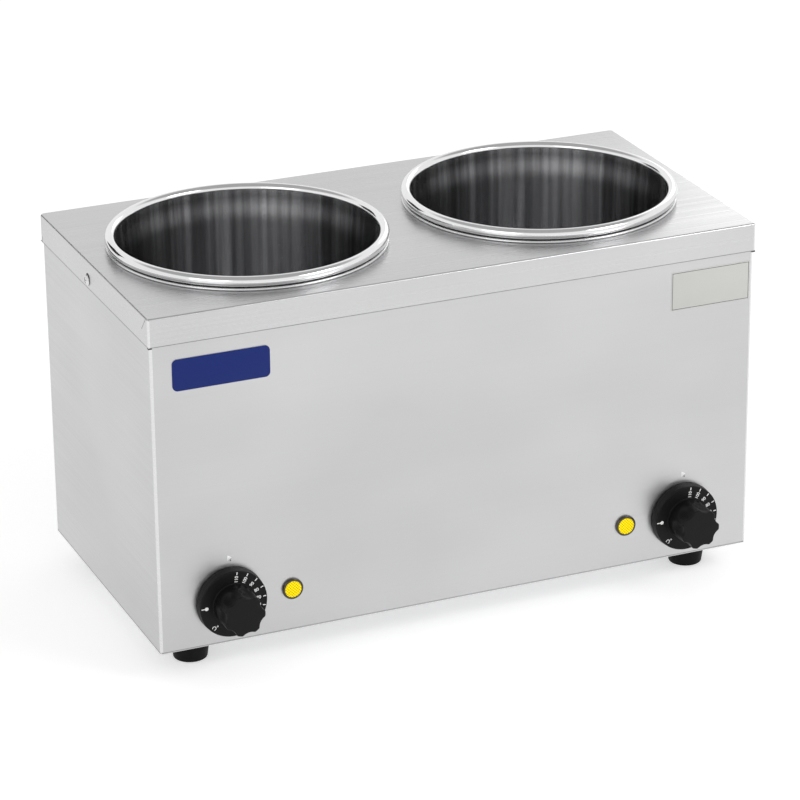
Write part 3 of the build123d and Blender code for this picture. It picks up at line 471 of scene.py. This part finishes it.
def dial_skirt(bm):
    """Spins the dial skirt with its hollow back and boss."""
    tip = first = start(bm, shaft_bore, knob_clear)
    for r, z in (
        (boss_radius, knob_clear), (boss_radius, dial_under),
        (skirt_inside, dial_under), (skirt_inside, knob_clear),
        (knob_radius - skirt_back_round, knob_clear),
    ):
        tip = line(bm, tip, r, z)
    tip = arc(bm, tip, knob_radius - skirt_back_round, knob_clear + skirt_back_round, 90, 3)
    tip = run(bm, tip, knob_radius - skirt_taper, dial_face - skirt_front_round)
    tip = arc(bm, tip, knob_radius - skirt_taper - skirt_front_round, dial_face - skirt_front_round, 90, 5)
    tip = run(bm, tip, shaft_bore, dial_face)
    bm.edges.new((tip, first))
    turn(bm, knob_steps)


def grip_outline(bm):
    """Draws the grip's outline, from inside the dial up its side to the middle of its face."""
    root_r = grip_radius + grip_root_round
    tip = line(bm, start(bm, 0, grip_root), root_r, grip_root)
    tip = line(bm, tip, root_r, dial_face)
    tip = arc(bm, tip, root_r, dial_face + grip_root_round, -90, 4)
    rise = grip_face - grip_edge_round - grip_root_round - dial_face
    for row in range(1, grip_rows + 1):
        tip = line(bm, tip, grip_radius, dial_face + grip_root_round + row * rise / grip_rows)
    tip = arc(bm, tip, grip_radius - grip_edge_round, grip_face - grip_edge_round, 90, 5)
    for r in grip_face_rings:
        tip = line(bm, tip, r, grip_face)


def knob_mesh():
    """Dial skirt and fluted grip."""
    bm = bmesh.new()
    dial_skirt(bm)
    dial = set(bm.faces)
    grip_outline(bm)
    loose = [v for v in bm.verts if not v.link_faces] + [e for e in bm.edges if not e.link_faces]
    bmesh.ops.spin(
        bm, geom=loose, cent=(0.0, 0.0, 0.0), axis=(0.0, 0.0, 1.0), angle=2 * math.pi, steps=knob_steps,
        use_merge=True,
    )

    def grip_verts():
        """Corners of the grip, without the dial's."""
        return [v for v in bm.verts if not any(f in dial for f in v.link_faces)]

    bmesh.ops.remove_doubles(bm, verts=grip_verts(), dist=2e-7)
    for v in grip_verts():
        if math.hypot(v.co.x, v.co.y) / MM > flute_inner:
            share = flute_share(math.atan2(v.co.y, v.co.x), v.co.z / MM)
            v.co.x *= share
            v.co.y *= share
    bmesh.ops.recalc_face_normals(bm, faces=bm.faces)
    return bm


# Dial print: the scale reads outwards from the grip, with a tick beyond each number
scale = [(110, 7), (100, 27), (90, 47), (80, 66), (70, 85), (60, 102), (50, 121), (40, 140), (30, 160)]
figure_size = 3.7
figure_radius = 20.2
figure_bold = 0.08
tick_start = 23.8
tick_end = 26.2
tick_half = 0.38
unit_size = 4.6
unit_radius = 22.6
unit_angle = 224
off_radius = 22.0
off_dot = 1.5
off_half = 0.4
off_angle = 270
print_half = 0.02


def lettering(words, size):
    """Mesh of a few generic figures, centred, lying in the plane."""
    curve = bpy.data.curves.new("figures", "FONT")
    curve.body = words
    curve.size = size * MM
    curve.align_x = "CENTER"
    curve.align_y = "CENTER"
    curve.extrude = print_half * MM
    curve.offset = figure_bold * MM
    holder = bpy.data.objects.new("figures", curve)
    bpy.context.scene.collection.objects.link(holder)
    bpy.context.view_layer.update()
    mesh = bpy.data.meshes.new_from_object(holder.evaluated_get(bpy.context.evaluated_depsgraph_get()))
    bpy.data.objects.remove(holder)
    return mesh


def bar(bm, x0, x1, y0, y1, z0, z1):
    """Small block between two corners, in millimetres."""
    block = bmesh.ops.create_cube(bm, size=1.0)["verts"]
    bmesh.ops.scale(bm, vec=Vector((x1 - x0, y1 - y0, z1 - z0)) * MM, verts=block)
    bmesh.ops.translate(bm, vec=Vector((x0 + x1, y0 + y1, z0 + z1)) * MM / 2, verts=block)
    return block


def dial_print_mesh():
    """Numbers with their ticks, the unit and the off mark, at angles clockwise from the top."""
    bm = bmesh.new()

    def turned(angle, verts):
        """Turns corners from the right to an angle of the dial."""
        bmesh.ops.transform(bm, matrix=Matrix.Rotation(math.radians(90 - angle), 4, "Z"), verts=verts)

    def words(text, size, radius):
        """Sets figures at a radius on the right and returns their corners."""
        before = set(bm.verts)
        bm.from_mesh(lettering(text, size))
        added = [v for v in bm.verts if v not in before]
        bmesh.ops.transform(bm, matrix=Matrix.Translation((radius * MM, 0, dial_face * MM)), verts=added)
        return added

    def tick(begin, half):
        """Stroke on the right, out to the end of the ticks."""
        return bar(bm, begin, tick_end, -half, half, dial_face - print_half, dial_face + print_half)

    for number, angle in scale:
        turned(angle, words(str(number), figure_size, figure_radius) + tick(tick_start, tick_half))
    turned(unit_angle, words("°C", unit_size, unit_radius))
    dot = bmesh.ops.create_cone(
        bm, cap_ends=True, segments=24, radius1=off_dot * MM, radius2=off_dot * MM, depth=2 * print_half * MM,
        matrix=Matrix.Translation((off_radius * MM, 0, dial_face * MM)),
    )["verts"]
    turned(off_angle, dot + tick(off_radius, off_half))
    return bm


# Pilot lamps: dark rim and a yellow lens moulded with small pyramids. Heights are out of the panel
lens_radius = 6.6
lens_spare = 1.0
lens_seat = 0.8
lens_top = 2.9
lens_edge = 0.6
lens_sides = 36
lens_bulge = 6.0
pyramid_rows = 9
pyramid_height = 0.4
groove = 0.16
lamp_radius = 8.5
lamp_reach = 2.2
lamp_round = 1.0
lamp_lip_round = 0.3
seat_radius = 6.65
barrel_radius = 6.2
barrel_inside = 5.3
barrel_length = 20.0
lamp_steps = 72


def lens_mesh():
    """Grid of pyramids, cut to a circle, bulged and closed behind."""
    bm = bmesh.new()
    size = (lens_radius + lens_spare) * MM
    bmesh.ops.create_grid(bm, x_segments=pyramid_rows, y_segments=pyramid_rows, size=size)
    squares = bm.faces[:]
    grooves = bmesh.ops.inset_individual(bm, faces=squares, thickness=groove * MM)["faces"]
    # The grooves take the dark amber finish: painted shade in them.
    for face in grooves:
        face.material_index = 1
    bmesh.ops.poke(bm, faces=squares, offset=pyramid_height * MM)
    bmesh.ops.rotate(bm, cent=(0, 0, 0), matrix=Matrix.Rotation(math.radians(45), 3, "Z"), verts=bm.verts)
    for step in range(lens_sides):
        angle = 2 * math.pi * step / lens_sides
        outward = Vector((math.cos(angle), math.sin(angle), 0.0))
        bmesh.ops.bisect_plane(
            bm, geom=bm.verts[:] + bm.edges[:] + bm.faces[:], plane_co=outward * lens_radius * MM,
            plane_no=outward, clear_outer=True,
        )
    for v in bm.verts:
        v.co.z += (lens_top - lens_edge) * MM - lens_bulge * (v.co.x**2 + v.co.y**2)
    edge = [e for e in bm.edges if e.is_boundary]
    grown = bmesh.ops.extrude_edge_only(bm, edges=edge)["geom"]
    for v in grown:
        if isinstance(v, bmesh.types.BMVert):
            v.co.z = lens_seat * MM
    bmesh.ops.holes_fill(bm, edges=[e for e in bm.edges if e.is_boundary], sides=0)
    bmesh.ops.recalc_face_normals(bm, faces=bm.faces)
    return bm


def lamp_rim_mesh():
    """Rim with the lens's seat, and the barrel behind it that goes through the panel."""
    bm = bmesh.new()
    tip = first = start(bm, barrel_inside, lens_seat)
    tip = line(bm, tip, seat_radius, lens_seat)
    tip = line(bm, tip, seat_radius, lamp_reach - lamp_lip_round)
    tip = arc(bm, tip, seat_radius + lamp_lip_round, lamp_reach - lamp_lip_round, -90, 3)
    tip = line(bm, tip, lamp_radius - lamp_round, lamp_reach)
    tip = arc(bm, tip, lamp_radius - lamp_round, lamp_reach - lamp_round, -90, 6)
    tip = line(bm, tip, lamp_radius, 0)
    for r, z in ((barrel_radius, 0), (barrel_radius, -barrel_length), (barrel_inside, -barrel_length)):
        tip = line(bm, tip, r, z)
    bm.edges.new((tip, first))
    turn(bm, lamp_steps)
    return bm


# Mark on the panel above each knob, with a dark bar by its lower tip, to the right: painted shade of the
# mark. Heights are above the knob's middle
mark_height = 35.2
mark_aside = -0.3
mark_out = 0.2
mark_depth = 0.5
mark_radius = 2.6
mark_top_radius = 1.3
index_shade_low = mark_height - 2.8
index_shade_high = mark_height - 1.6


def index_mark_mesh():
    """Small triangle that points to the right, seen from the front."""
    bm = bmesh.new()
    mark = bmesh.ops.create_cone(bm, cap_ends=True, segments=3, radius1=mark_radius * MM,
                                 radius2=mark_top_radius * MM, depth=mark_depth * MM)["verts"]
    bmesh.ops.rotate(bm, cent=(0, 0, 0), matrix=Matrix.Rotation(math.radians(-90), 3, "Z"), verts=mark)
    bmesh.ops.translate(bm, vec=Vector((mark_aside, mark_height, mark_out)) * MM, verts=mark)
    return bm


def index_tick_mesh():
    """Dark bar by the mark's lower tip, to the right: painted shade of the mark."""
    bm = bmesh.new()
    bar(bm, 0.5, 1.4, index_shade_low, index_shade_high, -0.05, 0.12)
    return bm


# Front controls: each knob with its print, the lamp beside it and the mark above it
for side in sides:
    control = side + "_control"
    knob_at = centre(side + "_knob")
    lamp_at = centre(side + "_lamp_rim")
    at_knob = on_panel(knob_at.x, knob_at.z)
    at_lamp = on_panel(lamp_at.x, lamp_at.z)
    knob = piece(knob_mesh(), side + "_dial_knob", control, [knob_plastic], at_knob, [side + "_knob"],
                 sharp=50)
    piece(dial_print_mesh(), side + "_dial_print", control, [dial_white_painted_glow], at_knob)
    lens = piece(lens_mesh(), side + "_pilot_lens", "casing", [lens_yellow, lens_groove_shade], at_lamp,
                 [side + "_lamp_lens"], sharp=10)
    rim = piece(lamp_rim_mesh(), side + "_pilot_rim", "casing", [lamp_rim_plastic], at_lamp,
                [side + "_lamp_rim"])
    piece(index_mark_mesh(), side + "_index_mark", "casing", [dial_white_painted_glow], at_knob, sharp=20)
    # The dark bar is painted shade of the mark.
    piece(index_tick_mesh(), side + "_index_shade", "casing", [plate_line], at_knob)

# Feet: tapered rubber, each with a pocket for its screw
foot_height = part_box("front_left_foot")[1].z / MM
foot_top_radius = 16.5
foot_top_round = 0.6
foot_low_radius = 13.36
foot_low_round = 1.2
pocket_radius = 6.5
pocket_depth = 12.0
foot_bore = 2.8
foot_steps = 72


def foot_mesh():
    """Tapered body with the screw's bore above its pocket."""
    bm = bmesh.new()
    top_r = foot_top_radius - foot_top_round
    tip = first = start(bm, foot_bore, pocket_depth)
    tip = line(bm, tip, foot_bore, foot_height)
    tip = run(bm, tip, top_r, foot_height)
    tip = arc(bm, tip, top_r, foot_height - foot_top_round, -90, 4)
    tip = run(bm, tip, foot_low_radius, foot_low_round)
    tip = arc(bm, tip, foot_low_radius - foot_low_round, foot_low_round, -90, 6)
    tip = run(bm, tip, pocket_radius, 0)
    tip = line(bm, tip, pocket_radius, pocket_depth)
    bm.edges.new((tip, first))
    turn(bm, foot_steps)
    return bm


for corner in ("front_left", "back_left", "front_right", "back_right"):
    foot_at = centre(corner + "_foot")
    foot = piece(foot_mesh(), corner + "_rubber_foot", "casing", [foot_rubber],
                 Matrix.Translation((foot_at.x, foot_at.y, 0.0)), [corner + "_foot"])


# Domed screws with a cross recess: in the cover's skirt, the back panel and the base tray
def screw_mesh(head_radius, head_height):
    """Low domed head on the plane Z = 0."""
    bm = bmesh.new()
    flat = 0.3 * head_height
    bulge = (head_radius**2 + (head_height - flat) ** 2) / (2 * (head_height - flat))
    sweep_angle = math.degrees(math.asin(head_radius / bulge))
    tip = line(bm, start(bm, 0, 0), head_radius, 0)
    tip = line(bm, tip, head_radius, flat)
    arc(bm, tip, 0, head_height - bulge, sweep_angle, 10)
    turn(bm, 40)
    return bm


def recess_mesh(head_radius, head_height):
    """Cross of two bars that cuts the recess."""
    bm = bmesh.new()
    long = 0.56 * head_radius
    half = 0.12 * head_radius
    deep = 0.45 * head_height
    bar(bm, -long, long, -half, half, deep, head_height + 1)
    bar(bm, -half, half, -long, long, deep, head_height + 1)
    return bm


def crossed_screw(head_radius, head_height):
    """Mesh data of one head with its recess cut in."""
    made = []
    for bm in (screw_mesh(head_radius, head_height), recess_mesh(head_radius, head_height)):
        mesh = bpy.data.meshes.new("screw_head")
        bm.to_mesh(mesh)
        bm.free()
        holder = bpy.data.objects.new("screw_head", mesh)
        bpy.context.scene.collection.objects.link(holder)
        made.append(holder)
    head, cutter = made
    cut = head.modifiers.new("recess", "BOOLEAN")
    cut.operation = "DIFFERENCE"
    cut.solver = "EXACT"
    cut.use_self = True
    cut.object = cutter
    bpy.context.view_layer.update()
    mesh = bpy.data.meshes.new_from_object(head.evaluated_get(bpy.context.evaluated_depsgraph_get()))
    for holder in made:
        bpy.data.objects.remove(holder)
    return mesh


def screws(name, node, head_radius, head_height, places):
    """One piece of several screws that stands for a node."""
    bm = bmesh.new()
    head = crossed_screw(head_radius, head_height)
    for place in places:
        before = set(bm.verts)
        bm.from_mesh(head)
        bmesh.ops.transform(bm, matrix=place, verts=[v for v in bm.verts if v not in before])
    made = piece(bm, name, "casing", [screw_steel], None, [node], sharp=30)


def facing(x, y, z, direction, turned=0.0):
    """Place of a screw whose head faces a direction."""
    return (
        Matrix.Translation((x, y, z))
        @ Vector(direction).to_track_quat("Z", "Y").to_matrix().to_4x4()
        @ Matrix.Rotation(math.radians(turned), 4, "Z")
    )


skirt_head = 4.5
skirt_head_height = 2.4
screw_y = middle_y + 10.0 * MM
screw_z = cover_top - 15.8 * MM
screws("skirt_screws", "cover_screws", skirt_head, skirt_head_height, [
    facing(cover_low.x, screw_y, screw_z, (-1, 0, 0), 20),
    facing(cover_high.x, screw_y, screw_z, (1, 0, 0), 65),
])
small_head = 3.6
small_height = 2.0
inset = small_head * MM
back_low, back_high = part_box("back_panel_screws")
screws("panel_screws", "back_panel_screws", small_head, small_height, [
    facing(x, shell_high.y, z, (0, 1, 0), turned)
    for x, z, turned in (
        (back_low.x + inset, back_low.z + inset, 15), (back_high.x - inset, back_low.z + inset, 50),
        (back_low.x + inset, back_high.z - inset, 75), (back_high.x - inset, back_high.z - inset, 35),
    )
])
base_low, base_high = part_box("base_screws")
front_screw_x = 0.15
side_screw_y = 0.06
screws("tray_screws", "base_screws", small_head, small_height, [
    facing(x, y, casing_bottom, (0, 0, -1), 25)
    for x, y in (
        (-front_screw_x, base_low.y + inset), (front_screw_x, base_low.y + inset),
        (base_low.x + inset, middle_y - side_screw_y), (base_low.x + inset, middle_y + side_screw_y),
        (base_high.x - inset, middle_y - side_screw_y), (base_high.x - inset, middle_y + side_screw_y),
    )
])


# Bare plates on the front: a blue enamelled one at the left, a pale one with a border line at the right
def plate_mesh(width, height, thickness, corner):
    """Thin plate with round corners and a softened edge."""
    bm = bmesh.new()
    bar(bm, -width / 2, width / 2, -height / 2, height / 2, 0, thickness)
    upright = [e for e in bm.edges if abs(e.verts[0].co.z - e.verts[1].co.z) > 0.5 * thickness * MM]
    bmesh.ops.bevel(bm, geom=upright, offset=corner * MM, segments=8, profile=0.5, affect="EDGES",
                    material=-1)
    top = [e for e in bm.edges if min(v.co.z for v in e.verts) > 0.9 * thickness * MM]
    bmesh.ops.bevel(bm, geom=top, offset=0.3 * thickness * MM, segments=2, profile=0.5, affect="EDGES",
                    material=-1)
    return bm


def border_mesh(width, height, thickness):
    """Thin line round a plate, in four bars."""
    half = 0.2
    under = thickness - 0.05
    top = thickness + 0.02
    side_x = width / 2 - 1.0
    end_y = height / 2 - 0.85
    bm = bmesh.new()
    for end in (-1, 1):
        bar(bm, -side_x - half, side_x + half, end * end_y - half, end * end_y + half, under, top)
        bar(bm, end * side_x - half, end * side_x + half, -end_y - half, end_y + half, under, top)
    return bm


enamel_at = on_panel(x=-0.1935, z=casing_bottom + 0.2245)
enamel = plate_mesh(width=77.0, height=25.0, thickness=0.9, corner=4.0)
piece(enamel, "enamel_plate", "casing", [plate_blue], enamel_at)
pale_at = on_panel(x=0.212, z=casing_bottom + 0.2257)
pale_width = 68.0
pale_height = 31.5
pale_thickness = 0.25
pale = plate_mesh(pale_width, pale_height, pale_thickness, corner=0.8)
piece(pale, "pale_plate", "casing", [plate_pale], pale_at)
piece(border_mesh(pale_width, pale_height, pale_thickness), "pale_plate_border", "casing", [plate_line],
      pale_at)

# Edges of the casing, in millimetres. Strips that lie on the sheet stand a hair proud of it
cover_x = cover_high.x / MM
cover_y = {-1: cover_low.y / MM, 1: cover_high.y / MM}
skirt_low = cover_low.z / MM
shell_x = shell_high.x / MM
shell_y = face_y / MM
shell_under = casing_bottom / MM
hair = 0.03
proud = 0.04


def shift(bm, verts, x, y, z):
    """Moves corners by millimetres."""
    bmesh.ops.translate(bm, vec=Vector((x, y, z)) * MM, verts=verts)


def cover_seams_mesh():
    """Mitre slits at the cover's front corners, short slits at the back and gaps under the front corners, as
    dark strips: painted shade in them.
    """
    slit_half = 0.2
    mitre_half = 7.0
    mitre_slope = Matrix.Rotation(math.radians(-48), 3, "X")
    mitre_y = cover_y[-1] + 9.0
    mitre_z = cover_top / MM - 6.3
    short_length = 5.0
    short_y = cover_y[1] - 5.6
    gap_x = cover_x - 1.5
    bm = bmesh.new()
    for sign in sides.values():
        mitre = bar(bm, -hair, hair, -mitre_half, mitre_half, -slit_half, slit_half)
        bmesh.ops.rotate(bm, cent=(0, 0, 0), matrix=mitre_slope, verts=mitre)
        shift(bm, mitre, sign * cover_x, mitre_y, mitre_z)
        short = bar(bm, -hair, hair, -slit_half, slit_half, 0.0, short_length)
        shift(bm, short, sign * cover_x, short_y, skirt_low)
        gap = bar(bm, -1.4, 1.4, 0.1, 2.9, -1.0, -0.02)
        shift(bm, gap, sign * gap_x, cover_y[-1], skirt_low)
    return bm


def skirt_edge_mesh():
    """Lower edge of the cover's skirt, as a dark strip on each side of it: painted shade of the gap under the
    skirt.
    """
    depth = 0.3
    stop = 1.0
    low = skirt_low - 0.02
    high = skirt_low + 0.5
    bm = bmesh.new()
    for front, edge in cover_y.items():
        out = edge + front * proud
        back = edge - front * depth
        bar(bm, stop - cover_x, cover_x - stop, min(out, back), max(out, back), low, high)
    for sign in sides.values():
        side_edge = bar(bm, -depth, proud, cover_y[-1] + stop, cover_y[1] - stop, low, high)
        bmesh.ops.scale(bm, vec=(sign, 1.0, 1.0), verts=side_edge)
        shift(bm, side_edge, sign * cover_x, 0, 0)
    bmesh.ops.recalc_face_normals(bm, faces=bm.faces)
    return bm


def screw_holes_mesh():
    """Dark discs for the punched holes that show beside the skirt's screws: painted shade in the holes."""
    radius = 4.7 * MM
    depth = 0.16 * MM
    hole_y = screw_y - 0.8 * MM
    hole_z = screw_z + 1.0 * MM
    bm = bmesh.new()
    for sign in sides.values():
        bmesh.ops.create_cone(
            bm, cap_ends=True, segments=40, radius1=radius, radius2=radius, depth=depth,
            matrix=facing(sign * cover_high.x, hole_y, hole_z, (sign, 0, 0)),
        )
    return bm


def lower_fold_mesh():
    """Rolled lower edges of the shell, at the front and both sides, in a dark finish: painted reflection of
    the shade under the casing.
    """
    depth = 1.2
    front_stop = 1.25
    side_stop = 2.0
    low = shell_under - proud
    high = shell_under + depth
    bm = bmesh.new()
    bar(bm, front_stop - shell_x, shell_x - front_stop, shell_y - proud, shell_y + depth, low, high)
    for sign in sides.values():
        out = sign * proud
        back = -sign * depth
        fold = bar(bm, min(out, back), max(out, back), shell_y + side_stop, shell_high.y / MM - side_stop,
                   low, high)
        shift(bm, fold, sign * shell_x, 0, 0)
    outer = [
        e for e in bm.edges
        if all(v.co.z < casing_bottom for v in e.verts)
        and (all(v.co.y < face_y for v in e.verts) or all(abs(v.co.x) > shell_high.x for v in e.verts))
    ]
    bmesh.ops.bevel(bm, geom=outer, offset=1.0 * MM, segments=5, profile=0.5, affect="EDGES", material=-1)
    return bm


def corner_bends_mesh(out_x, out_y, size, bend, low, high):
    """Crisp front corners, rounded up the outer edge and round the top. The upright rounding has finish 1,
    lighter steel that is a painted highlight.
    """
    bm = bmesh.new()
    for sign in sides.values():
        corner = bar(bm, -size, hair, -hair, size, low, high)
        walls = (lambda co: co.x > 0, lambda co: co.y < 0, lambda co: co.z > (high - 0.01) * MM)
        outside = [
            e for e in bm.edges
            if all(v in corner for v in e.verts)
            and sum(all(on_wall(v.co) for v in e.verts) for on_wall in walls) == 2
        ]
        rounded = bmesh.ops.bevel(bm, geom=outside, offset=bend * MM, segments=8, profile=0.5, affect="EDGES",
                                  material=-1)["verts"]
        whole = {v for v in corner if v.is_valid} | set(rounded)
        for face in {f for v in whole for f in v.link_faces}:
            face.normal_update()
            if abs(face.normal.z) < 0.2 and min(abs(face.normal.x), abs(face.normal.y)) > 0.02:
                face.material_index = 1
        bmesh.ops.scale(bm, vec=(sign, 1.0, 1.0), verts=list(whole))
        shift(bm, list(whole), sign * out_x, out_y, 0)
    bmesh.ops.recalc_face_normals(bm, faces=bm.faces)
    return bm


piece(cover_seams_mesh(), "cover_seams", "casing", [seam_shade])
piece(skirt_edge_mesh(), "skirt_edge", "casing", [painted_edge_shade])
piece(screw_holes_mesh(), "skirt_screw_holes", "casing", [seam_shade])
piece(lower_fold_mesh(), "shell_lower_fold", "casing", [painted_edge_shade])
shell_bends = corner_bends_mesh(shell_x, shell_y, size=2.9, bend=2.0, low=shell_under + 1.3,
                                high=skirt_low + 0.5)
piece(shell_bends, "shell_corner_bends", "casing", [casing_steel, painted_bend_highlight])
cover_bends = corner_bends_mesh(cover_x, cover_y[-1], size=4.0, bend=1.6, low=skirt_low,
                                high=cover_top / MM + hair)
piece(cover_bends, "cover_corner_bends", "casing", [cover_steel, painted_bend_highlight])


# Floor, background, lamps and camera
def seen_rays(tree, unseen, seen):
    """A number for rays that the camera, metal or glass sees, and another for the light on the object."""
    path = tree.nodes.new("ShaderNodeLightPath")
    total = path.outputs["Is Camera Ray"]
    for name in ("Is Glossy Ray", "Is Transmission Ray"):
        most = tree.nodes.new("ShaderNodeMath")
        most.operation = "MAXIMUM"
        tree.links.new(total, most.inputs[0])
        tree.links.new(path.outputs[name], most.inputs[1])
        total = most.outputs["Value"]
    ranged = tree.nodes.new("ShaderNodeMapRange")
    ranged.inputs["To Min"].default_value = unseen
    ranged.inputs["To Max"].default_value = seen
    tree.links.new(total, ranged.inputs["Value"])
    return ranged


def floor_finish():
    """Pale floor that stays white away from the object and keeps its shadow."""
    material = bpy.data.materials.new("studio_floor")
    material.use_nodes = True
    tree = material.node_tree
    tree.nodes.clear()
    paint = tree.nodes.new("ShaderNodeBsdfDiffuse")
    paint.inputs["Color"].default_value = (0.8, 0.8, 0.8, 1.0)
    glow = tree.nodes.new("ShaderNodeEmission")
    both = tree.nodes.new("ShaderNodeAddShader")
    out = tree.nodes.new("ShaderNodeOutputMaterial")
    tree.links.new(seen_rays(tree, 0.0, 0.5).outputs["Result"], glow.inputs["Strength"])
    tree.links.new(paint.outputs["BSDF"], both.inputs[0])
    tree.links.new(glow.outputs["Emission"], both.inputs[1])
    tree.links.new(both.outputs["Shader"], out.inputs["Surface"])
    return material


def sheet_mesh(size):
    """Flat square in the plane Z = 0, from its middle to its edge in metres."""
    bm = bmesh.new()
    bmesh.ops.create_grid(bm, x_segments=1, y_segments=1, size=size)
    return bm


def staged(bm, name, material):
    """Object of the studio that isn't part of the product."""
    mesh = bpy.data.meshes.new(name)
    bm.to_mesh(mesh)
    bm.free()
    mesh.materials.append(material)
    made = bpy.data.objects.new(name, mesh)
    bpy.context.scene.collection.objects.link(made)
    return made


def backdrop():
    """White world that only the camera and the metal see in full, dimmer overhead."""
    world = bpy.data.worlds.new("studio")
    bpy.context.scene.world = world
    world.use_nodes = True
    tree = world.node_tree
    background = tree.nodes["Background"]
    background.inputs["Color"].default_value = (1.0, 1.0, 1.0, 1.0)
    direction = tree.nodes.new("ShaderNodeTexCoord")
    height = tree.nodes.new("ShaderNodeSeparateXYZ")
    tree.links.new(direction.outputs["Generated"], height.inputs["Vector"])
    ceiling = tree.nodes.new("ShaderNodeMapRange")
    for socket, number in (("From Min", 0.62), ("From Max", 0.74), ("To Min", 1.0), ("To Max", 0.45)):
        ceiling.inputs[socket].default_value = number
    tree.links.new(height.outputs["Z"], ceiling.inputs["Value"])
    studio = seen_rays(tree, 0.6, 1.0)
    tree.links.new(ceiling.outputs["Result"], studio.inputs["To Max"])
    tree.links.new(studio.outputs["Result"], background.inputs["Strength"])


def softbox(name, at, aim, width, height, power):
    """Rectangular lamp that faces a point."""
    lamp = bpy.data.lights.new(name, "AREA")
    lamp.shape = "RECTANGLE"
    lamp.size = width
    lamp.size_y = height
    lamp.energy = power
    holder = bpy.data.objects.new(name, lamp)
    bpy.context.scene.collection.objects.link(holder)
    holder.location = at
    holder.rotation_euler = (Vector(aim) - Vector(at)).to_track_quat("-Z", "Y").to_euler()


def dark_card():
    """Card behind the object at the left, which shows only in reflections."""
    middle = (-1.05, 1.95, 0.95)
    stand = Matrix.Rotation(math.radians(90), 3, "X")
    swing = Matrix.Rotation(math.radians(24), 3, "Z")
    bm = sheet_mesh(0.5)
    bmesh.ops.scale(bm, vec=(1.0, 0.8, 1.0), verts=bm.verts)
    bmesh.ops.rotate(bm, cent=(0, 0, 0), matrix=stand, verts=bm.verts)
    bmesh.ops.rotate(bm, cent=(0, 0, 0), matrix=swing, verts=bm.verts)
    bmesh.ops.translate(bm, vec=middle, verts=bm.verts)
    card = staged(bm, "dark_card", finish("card_black", (0.02, 0.02, 0.02), 0.9))
    card.visible_camera = False
    card.visible_diffuse = False
    card.visible_shadow = False


def aimed_camera(place, yaw, pitch, roll_angle, lens):
    """Camera at a place in metres, turned by angles in degrees."""
    yaw, pitch, roll_angle = (math.radians(angle) for angle in (yaw, pitch, roll_angle))
    ahead = Vector((math.sin(yaw) * math.cos(pitch), math.cos(yaw) * math.cos(pitch), -math.sin(pitch)))
    right = Vector((math.cos(yaw), -math.sin(yaw), 0.0))
    up = right.cross(ahead)
    across = math.cos(roll_angle) * right + math.sin(roll_angle) * up
    upward = across.cross(ahead)
    data = bpy.data.cameras.new("camera")
    data.sensor_width = 36.0
    data.lens = lens
    data.clip_end = 50.0
    camera = bpy.data.objects.new("camera", data)
    bpy.context.scene.collection.objects.link(camera)
    rows = [(across[i], upward[i], -ahead[i], place[i]) for i in range(3)]
    camera.matrix_world = Matrix((*rows, (0.0, 0.0, 0.0, 1.0)))
    return camera


staged(sheet_mesh(6.0), "floor", floor_finish())
backdrop()
softbox("key_lamp", at=(1.5, -1.7, 1.9), aim=(0.4, -0.5, 0.0), width=1.2, height=1.0, power=16.0)
softbox("fill_lamp", at=(-1.8, -1.3, 1.2), aim=(-0.5, -0.3, 0.0), width=1.2, height=1.2, power=5.0)
softbox("back_lamp", at=(1.75, 1.85, 1.15), aim=(0.2, 0.0, 0.3), width=1.0, height=0.8, power=2.6)
dark_card()
bpy.context.scene.camera = aimed_camera(
    place=(-1.0606, -2.5166, 1.2768), yaw=22.85, pitch=22.53, roll_angle=-0.57, lens=167.45
)
bpy.context.scene.view_settings.view_transform = "Standard"
